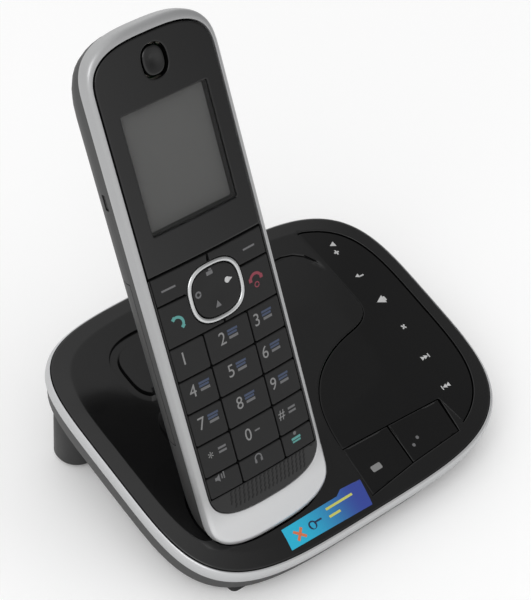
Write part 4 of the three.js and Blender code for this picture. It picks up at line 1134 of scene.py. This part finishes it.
class PHONE_OT_key_marks(Operator):
    """Prints the digits and the small symbols on the handset's keys"""
    bl_idname = "phone.key_marks"
    bl_label = "Key marks"

    def execute(self, context):
        sizes = settings().sizes
        height, digit = sizes.mark_height * 1000, sizes.digit_height * 1000
        marks = {}

        def on(key):
            return marks.setdefault(key, Shape())

        def put(key, loops, finish=0):
            lift_mark(on(key), loops, key_top, height, finish)

        for r, names in enumerate(KEY_ROWS):
            middle = TALK_BOTTOM - (r + 0.5) * DIGIT_PITCH
            for c, name in enumerate(names):
                text = {"key_star": "*", "key_hash": "#"}.get(name, name[-1])
                size = {"*": 2.2, "#": 3.2}.get(text, digit)
                lift_text(on(name), text, size, (DIGIT_COLUMNS[c], middle + 1.2), key_top, height)
                u = MARK_COLUMNS[c]
                if name in ("key_star", "key_hash"):
                    put(name, bar_mark(2.9, 0.7, (u, middle + 2.0)) + bar_mark(2.9, 0.7, (u, middle + 0.7)), 1)
                elif name == "key_0":
                    put(name, bar_mark(2.0, 0.5, (u - 0.6, middle + 1.2)), 1)
                elif name != "key_1":
                    put(name, bar_mark(3.9, 0.72, (u, middle + 2.5)) + bar_mark(3.5, 0.72, (u - 0.2, middle + 1.5)), 2)
                    put(name, bar_mark(3.4, 0.85, (u, middle + 0.3)), 1)
        mute = np.array(((-1.3, -0.5), (-0.5, -0.5), (0.4, -1.3), (0.4, 1.3), (-0.5, 0.5), (-1.3, 0.5)))
        put("key_mute", [mute + (-16.4, 27.2)] + bar_mark(0.4, 1.6, (-15.2, 27.4)) + bar_mark(0.4, 2.3, (-14.4, 27.5)), 1)
        feet = [foot for x in (-1.1, 1.1) for foot in bar_mark(0.75, 1.1, (x - 1.2, 25.9))]
        put("key_handsfree", arc_mark(1.2, 0.45, -40, 220, (-1.2, 26.8)) + feet, 1)
        put("key_message", disc_mark(0.6, (13.9, 27.7)), 1)
        put("key_message", bar_mark(3.6, 0.8, (14.0, 26.0)) + bar_mark(3.2, 0.6, (14.0, 25.0)), 3)
        put("softkey_left", bar_mark(5.0, 0.6, (-15.6, 90.4)), 1)
        put("softkey_right", bar_mark(4.5, 0.6, (14.8, 90.6)), 1)
        put("talk_key", receiver_mark(3.4, -49, (-15.8, 79.0)), 3)
        put("off_key", receiver_mark(3.5, 0, (14.5, 79.9)) + arc_mark(0.8, 0.35, 0, 350, (14.4, 78.5)), 4)
        nav_top = lambda u, v: crown(u) + 0.15
        x, y = NAV_CENTRE
        nav = on("nav_key")
        lift_mark(nav, bar_mark(2.3, 1.2, (x - 1.0, y + 6.1)) + bar_mark(1.0, 0.5, (x - 0.6, y + 7.1)), nav_top, height, 1)
        lift_mark(nav, triangle_mark(1.9, 90, (x - 0.75, y - 4.1)), nav_top, height, 1)
        lift_mark(nav, disc_mark(0.95, (x + 4.4, y + 1.5)) + triangle_mark(1.2, 0, (x + 5.6, y + 1.5)), nav_top, height, 5)
        lift_mark(nav, arc_mark(0.85, 0.55, 0, 350, (x - 6.6, y + 1.3)), nav_top, height, 1)
        for key, shape in marks.items():
            as_object(f"print_{key}", shape, HANDSET, key, KEY_PRINTS, None)
        return {"FINISHED"}


class PHONE_OT_base_top(Operator):
    """Builds the base's domed cover, the support behind the handset, the touch panel and the front keys"""
    bl_idname = "phone.base_top"
    bl_label = "Base top"

    def execute(self, context):
        rounding = settings().sizes.cover_round * 1000
        self.cover(rounding)
        self.support()
        panel = finely(drawn_in(panel_outline(), GAP), 3.0)
        level = lambda x, y: deck_top(x, y) - PANEL_SINK
        shape = Shape().add(*slab([panel], level, lambda x, y: level(x, y) - 1.5, rounding, 1.8))
        as_object("touch_panel", shape, DECK, "base_unit", ["panel_black"], "control_panel")
        for name, corners in (("locator_key", LOCATOR), ("answer_key", ANSWER)):
            loop = finely(drawn_in(np.array(corners)[::-1] if area_of(corners) < 0 else np.array(corners), KEY_GAP), 1.5)
            level = lambda x, y: deck_top(x, y) - BASE_KEY_SINK
            shape = Shape().add(*slab([loop], level, lambda x, y: level(x, y) - 2.3, rounding, 1.6))
            as_object(name + "_cap", shape, DECK, name, ["panel_black"], name)
        return {"FINISHED"}

    def cover(self, rounding):
        """The cover: a dome over rings of points, finer at the bevel's line and the groove, less its openings."""
        rings = [superellipse(CASE_HALF[0] - d, CASE_HALF[1] - d, CASE_SQUARENESS, n)
                 for d, n in ((1.5, 240), (2.8, 240), (4.0, 240), (4.6, 260), (4.9, 260), (5.2, 260), (5.8, 240), (7, 220), (9, 200))]
        ahead = np.gradient(GROOVE, axis=0)
        normal = np.column_stack((-ahead[:, 1], ahead[:, 0])) / np.hypot(*ahead.T)[:, None]
        lines = [np.concatenate((ring, ring[:1])) for ring in rings] + [GROOVE] + [
            GROOVE + normal * (side * np.maximum(GROOVE_WIDTHS / 2 + shift, 0.12))[:, None]
            for side in (-1, 1) for shift in (0.35, 0.1, -0.15)
        ]
        edge = superellipse(*CASE_HALF, CASE_SQUARENESS, 320)
        opening = finely(control_opening(), 2.0)
        points, faces = slab([edge, opening], cover_top, lambda x, y: deck_top(x, y) - TOP_WALL, rounding, 2.2, lines)
        shape = Shape().add(points, faces)
        skirt = [at_height(superellipse(CASE_HALF[0] - i, CASE_HALF[1] - i, CASE_SQUARENESS, 320), z)
                 for i, z in ((0.0, -1.0), (0.0, -RIM_HEIGHT - 0.2), (1.8, -RIM_HEIGHT - 0.2), (1.8, -1.0))]
        shape.add(*band(skirt))
        piece = as_object("base_cover", shape, DECK, "base_unit", ["gloss_black"], "base_top_cover")
        cut_with(piece, handset_room(POCKET_CLEARANCE), HANDSET)

    def support(self):
        """The support behind the handset: rounded rectangles lofted up to a soft top and held back to the plane
        of the handset's rear, where y = seat + (z - seat) / tan(lean) + depth / sin(lean)."""
        table = np.array(BACKREST)
        lean = math.radians(SET_LEAN)
        depth = SET_THICKNESS + POCKET_CLEARANCE
        rows = []
        for share in np.linspace(0, len(table) - 1, 13):
            x0, x1, y0, y1, radius, height = (np.interp(share, np.arange(len(table)), c) for c in table.T)
            loop = rounded_rectangle(x0, x1, y0, y1, radius)
            row = at_height(loop, height if share else lambda x, y: deck_top(x, y) - 0.8)
            rear = SEAT[1] + (row[:, 2] - SEAT[2]) / math.tan(lean) + depth / math.sin(lean)
            row[:, 1] = np.maximum(row[:, 1], rear)
            rows.append(row)
        shape = Shape().add(*band(rows, False, True))
        as_object("handset_support", shape, DECK, "base_unit", ["gloss_black"], None, 60)


class PHONE_OT_base_rim(Operator):
    """Builds the bright rim under the cover's edge"""
    bl_idname = "phone.base_rim"
    bl_label = "Base rim"

    def execute(self, context):
        over = RIM_OVERHANG - 0.3
        profile = (
            (over - 0.55, -RIM_HEIGHT), (over - 0.25, -4.75), (over - 0.06, -4.3), (over, -3.6), (over, -2.6),
            (over - 0.06, -1.9), (over - 0.25, -1.2), (over - 0.5, -0.7), (over - 0.75, -0.42), (over - 0.9, -0.35),
        )
        rows = [at_height(superellipse(CASE_HALF[0] + grow, CASE_HALF[1] + grow, CASE_SQUARENESS, 320, (0, -0.3)), z) for grow, z in profile]
        for z in (-0.45, -RIM_HEIGHT):
            rows.append(at_height(superellipse(CASE_HALF[0] + GAP, CASE_HALF[1] + GAP, CASE_SQUARENESS, 320), z))
        as_object("base_bright_rim", Shape().add(*band(rows)), DECK, "base_unit", ["rim_silver"], "base_rim", 50)
        return {"FINISHED"}


class PHONE_OT_base_marks(Operator):
    """Prints the symbols on the touch panel and the front keys, and lays the film label"""
    bl_idname = "phone.base_marks"
    bl_label = "Base marks"

    def execute(self, context):
        height = settings().sizes.mark_height * 1000
        panel = lambda x, y: deck_top(x, y) - PANEL_SINK
        keys = lambda x, y: deck_top(x, y) - BASE_KEY_SINK
        shape = Shape()
        icons = (
            triangle_mark(2.0, 180, (50.3, 34.7)) + bar_mark(2.0, 0.6, (49.4, 31.4)) + bar_mark(0.6, 2.0, (49.4, 31.4)),
            triangle_mark(1.5, 180, (49.2, 19.9)) + bar_mark(1.6, 0.5, (50.9, 19.4)),
            triangle_mark(3.0, 180, (50.0, 8.0)) + bar_mark(1.0, 1.7, (51.7, 8.0)),
            turned(bar_mark(2.0, 0.55) + bar_mark(0.55, 2.0), 45, (50.0, -4.3)),
            triangle_mark(1.5, 0, (47.6, -17.4)) + triangle_mark(1.5, 0, (48.9, -17.4)) + bar_mark(0.4, 1.6, (50.1, -17.4)),
            bar_mark(0.4, 1.6, (45.8, -29.7)) + triangle_mark(1.5, 180, (47.0, -29.7)) + triangle_mark(1.5, 180, (48.4, -29.7)),
        )
        for loops in icons:
            lift_mark(shape, loops, panel, height)
        as_object("print_touch_panel", shape, DECK, "base_unit", ["print_light"], None)
        shape = Shape()
        lift_mark(shape, [rounded_rectangle(4.4, 8.4, -42.4, -40.2, 0.5, 4)], keys, height)
        as_object("print_locator", shape, DECK, "locator_key", ["print_grey"], None)
        shape = Shape()
        lift_mark(shape, disc_mark(0.6, (22.8, -41.4)) + disc_mark(0.6, (25.6, -39.8)), keys, height)
        as_object("print_answer", shape, DECK, "answer_key", ["print_dim"], None)
        film = np.array(((-35.9, -49.9), (-3.0, -50.8), (-1.4, -41.9), (-9.5, -41.4), (-12.0, -42.8), (-35.0, -42.8)))
        top = lambda a, b: deck_top(a, b) + 0.09
        shape = Shape()
        shape.add(*slab([finely(film, 2.0)], top, lambda a, b: deck_top(a, b) + 0.01, 0.03, 1.8))
        lift_mark(shape, bar_mark(11.0, 0.8, (-12.5, -44.6)) + bar_mark(4.6, 0.8, (-16.2, -47.2)), top, 0.02, 1)
        lift_mark(shape, turned(bar_mark(4.6, 0.9) + bar_mark(0.9, 4.6), 45, (-30.5, -46.9)), top, 0.02, 2)
        lift_mark(shape, disc_mark(1.5, (-25.0, -46.6)) + bar_mark(3.0, 0.6, (-22.6, -46.2)), top, 0.02, 3)
        as_object("film_label", shape, DECK, "base_unit", ["label_film", "label_yellow", "label_orange", "label_dark"], None)
        return {"FINISHED"}


class PHONE_OT_studio(Operator):
    """Sets up the floor, the soft light and the camera"""
    bl_idname = "phone.studio"
    bl_label = "Studio"

    def execute(self, context):
        studio = settings().studio
        self.floor(studio.floor_size)
        self.sky(studio.sky)
        self.lamp("key_lamp", (-0.9, -0.5, 1.1), 1.0, studio.lamp)
        self.camera()
        scene = context.scene
        scene.view_settings.view_transform = "Standard"
        return {"FINISHED"}

    def floor(self, size):
        half = size / 2
        mesh = bpy.data.meshes.new("floor")
        mesh.from_pydata([(-half, -half, 0), (half, -half, 0), (half, half, 0), (-half, half, 0)], [], [(0, 1, 2, 3)])
        floor = bpy.data.objects.new("floor", mesh)
        bpy.context.scene.collection.objects.link(floor)
        finish = Finish("pale_floor").set(Roughness=0.9, Specular_IOR_Level=0.0, Base_Color=(0.98, 0.98, 0.98, 1.0))
        path = finish.nodes.new("ShaderNodeLightPath")
        finish.shader.inputs["Emission Color"].default_value = (1.0, 1.0, 1.0, 1.0)
        finish.blend(path.outputs["Is Camera Ray"], 0.0, 0.06, "Emission Strength")
        mesh.materials.append(finish.material)

    def sky(self, level):
        """Even light from all round; seen directly, mirrored or through glass it is white behind the object and dimmer overhead and behind the camera."""
        world = bpy.data.worlds.new("studio")
        bpy.context.scene.world = world
        world.use_nodes = True
        nodes, link = world.node_tree.nodes, world.node_tree.links.new
        nodes.clear()
        out = nodes.new("ShaderNodeOutputWorld")
        light = nodes.new("ShaderNodeBackground")
        light.inputs["Color"].default_value = (1.0, 1.0, 1.0, 1.0)
        light.inputs["Strength"].default_value = level
        seen = nodes.new("ShaderNodeBackground")
        seen.inputs["Color"].default_value = (1.0, 1.0, 1.0, 1.0)
        path = nodes.new("ShaderNodeLightPath")
        coordinates = nodes.new("ShaderNodeTexCoord")
        facing = nodes.new("ShaderNodeVectorMath")
        facing.operation = "DOT_PRODUCT"
        facing.inputs[1].default_value = (-0.9, 0.2, -0.45)
        fall = nodes.new("ShaderNodeMapRange")
        fall.inputs["From Min"].default_value = -0.87
        fall.inputs["From Max"].default_value = -0.45
        fall.inputs["To Min"].default_value = 0.32
        fall.inputs["To Max"].default_value = 1.0
        link(coordinates.outputs["Generated"], facing.inputs[0])
        link(facing.outputs["Value"], fall.inputs["Value"])
        direct = nodes.new("ShaderNodeMath")
        direct.operation = "MAXIMUM"
        link(path.outputs["Is Camera Ray"], direct.inputs[0])
        link(fall.outputs["Result"], direct.inputs[1])
        link(direct.outputs["Value"], seen.inputs["Strength"])
        either = nodes.new("ShaderNodeMath")
        either.operation = "MAXIMUM"
        both = nodes.new("ShaderNodeMath")
        both.operation = "MAXIMUM"
        link(path.outputs["Is Camera Ray"], either.inputs[0])
        link(path.outputs["Is Glossy Ray"], either.inputs[1])
        link(either.outputs["Value"], both.inputs[0])
        link(path.outputs["Is Transmission Ray"], both.inputs[1])
        mix = nodes.new("ShaderNodeMixShader")
        link(both.outputs["Value"], mix.inputs["Fac"])
        link(light.outputs["Background"], mix.inputs[1])
        link(seen.outputs["Background"], mix.inputs[2])
        link(mix.outputs["Shader"], out.inputs["Surface"])

    def lamp(self, name, place, size, power):
        light = bpy.data.lights.new(name, "AREA")
        light.shape, light.size, light.energy = "DISK", size, power
        lamp = bpy.data.objects.new(name, light)
        bpy.context.scene.collection.objects.link(lamp)
        lamp.location = place
        lamp.rotation_euler = (Vector((0, 0, 0.06)) - lamp.location).to_track_quat("-Z", "Y").to_euler()

    def camera(self):
        view = bpy.data.cameras.new("camera")
        view.sensor_fit, view.sensor_height, view.lens = "VERTICAL", 36.0, 127.76
        view.shift_x, view.shift_y = 0.0012, 0.0055
        view.clip_start, view.clip_end = 0.01, 20.0
        camera = bpy.data.objects.new("camera", view)
        bpy.context.scene.collection.objects.link(camera)
        across, down, ahead = Vector((0.76341, -0.64319, 0.05922)), Vector((-0.4083, -0.55158, -0.72736)), Vector((0.50049, 0.5311, -0.6837))
        turn = Matrix((across, -down, -ahead)).transposed().to_4x4()
        camera.matrix_world = Matrix.Translation((-0.34074, -0.35123, 0.52005)) @ turn
        bpy.context.scene.camera = camera


OPERATORS = (
    PHONE_OT_finishes, PHONE_OT_carried_over, PHONE_OT_handset_shell, PHONE_OT_keypad, PHONE_OT_key_marks,
    PHONE_OT_base_top, PHONE_OT_base_rim, PHONE_OT_base_marks, PHONE_OT_studio,
)


class PHONE_PT_sidebar(Panel):
    """Lists the steps that build the phone, and its settings"""
    bl_idname = "PHONE_PT_sidebar"
    bl_label = "Cordless phone"
    bl_space_type = "VIEW_3D"
    bl_region_type = "UI"
    bl_category = "Cordless phone"

    def draw(self, context):
        for step in OPERATORS:
            self.layout.operator(step.bl_idname)
        for group in (settings().colours, settings().sizes, settings().studio):
            box = self.layout.box()
            for label in group.__annotations__:
                box.prop(group, label)


CLASSES = (PhoneColours, PhoneSizes, PhoneStudio, PhoneSettings) + OPERATORS + (PHONE_PT_sidebar,)


def register():
    for item in CLASSES:
        bpy.utils.register_class(item)
    bpy.types.Scene.cordless_phone = PointerProperty(name="Cordless phone", description="Settings of the cordless phone", type=PhoneSettings)


def unregister():
    del bpy.types.Scene.cordless_phone
    for item in reversed(CLASSES):
        bpy.utils.unregister_class(item)


def main():
    """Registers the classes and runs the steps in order."""
    register()
    for step in OPERATORS:
        group, name = step.bl_idname.split(".")
        getattr(getattr(bpy.ops, group), name)()


if __name__ == "__main__":
    main()
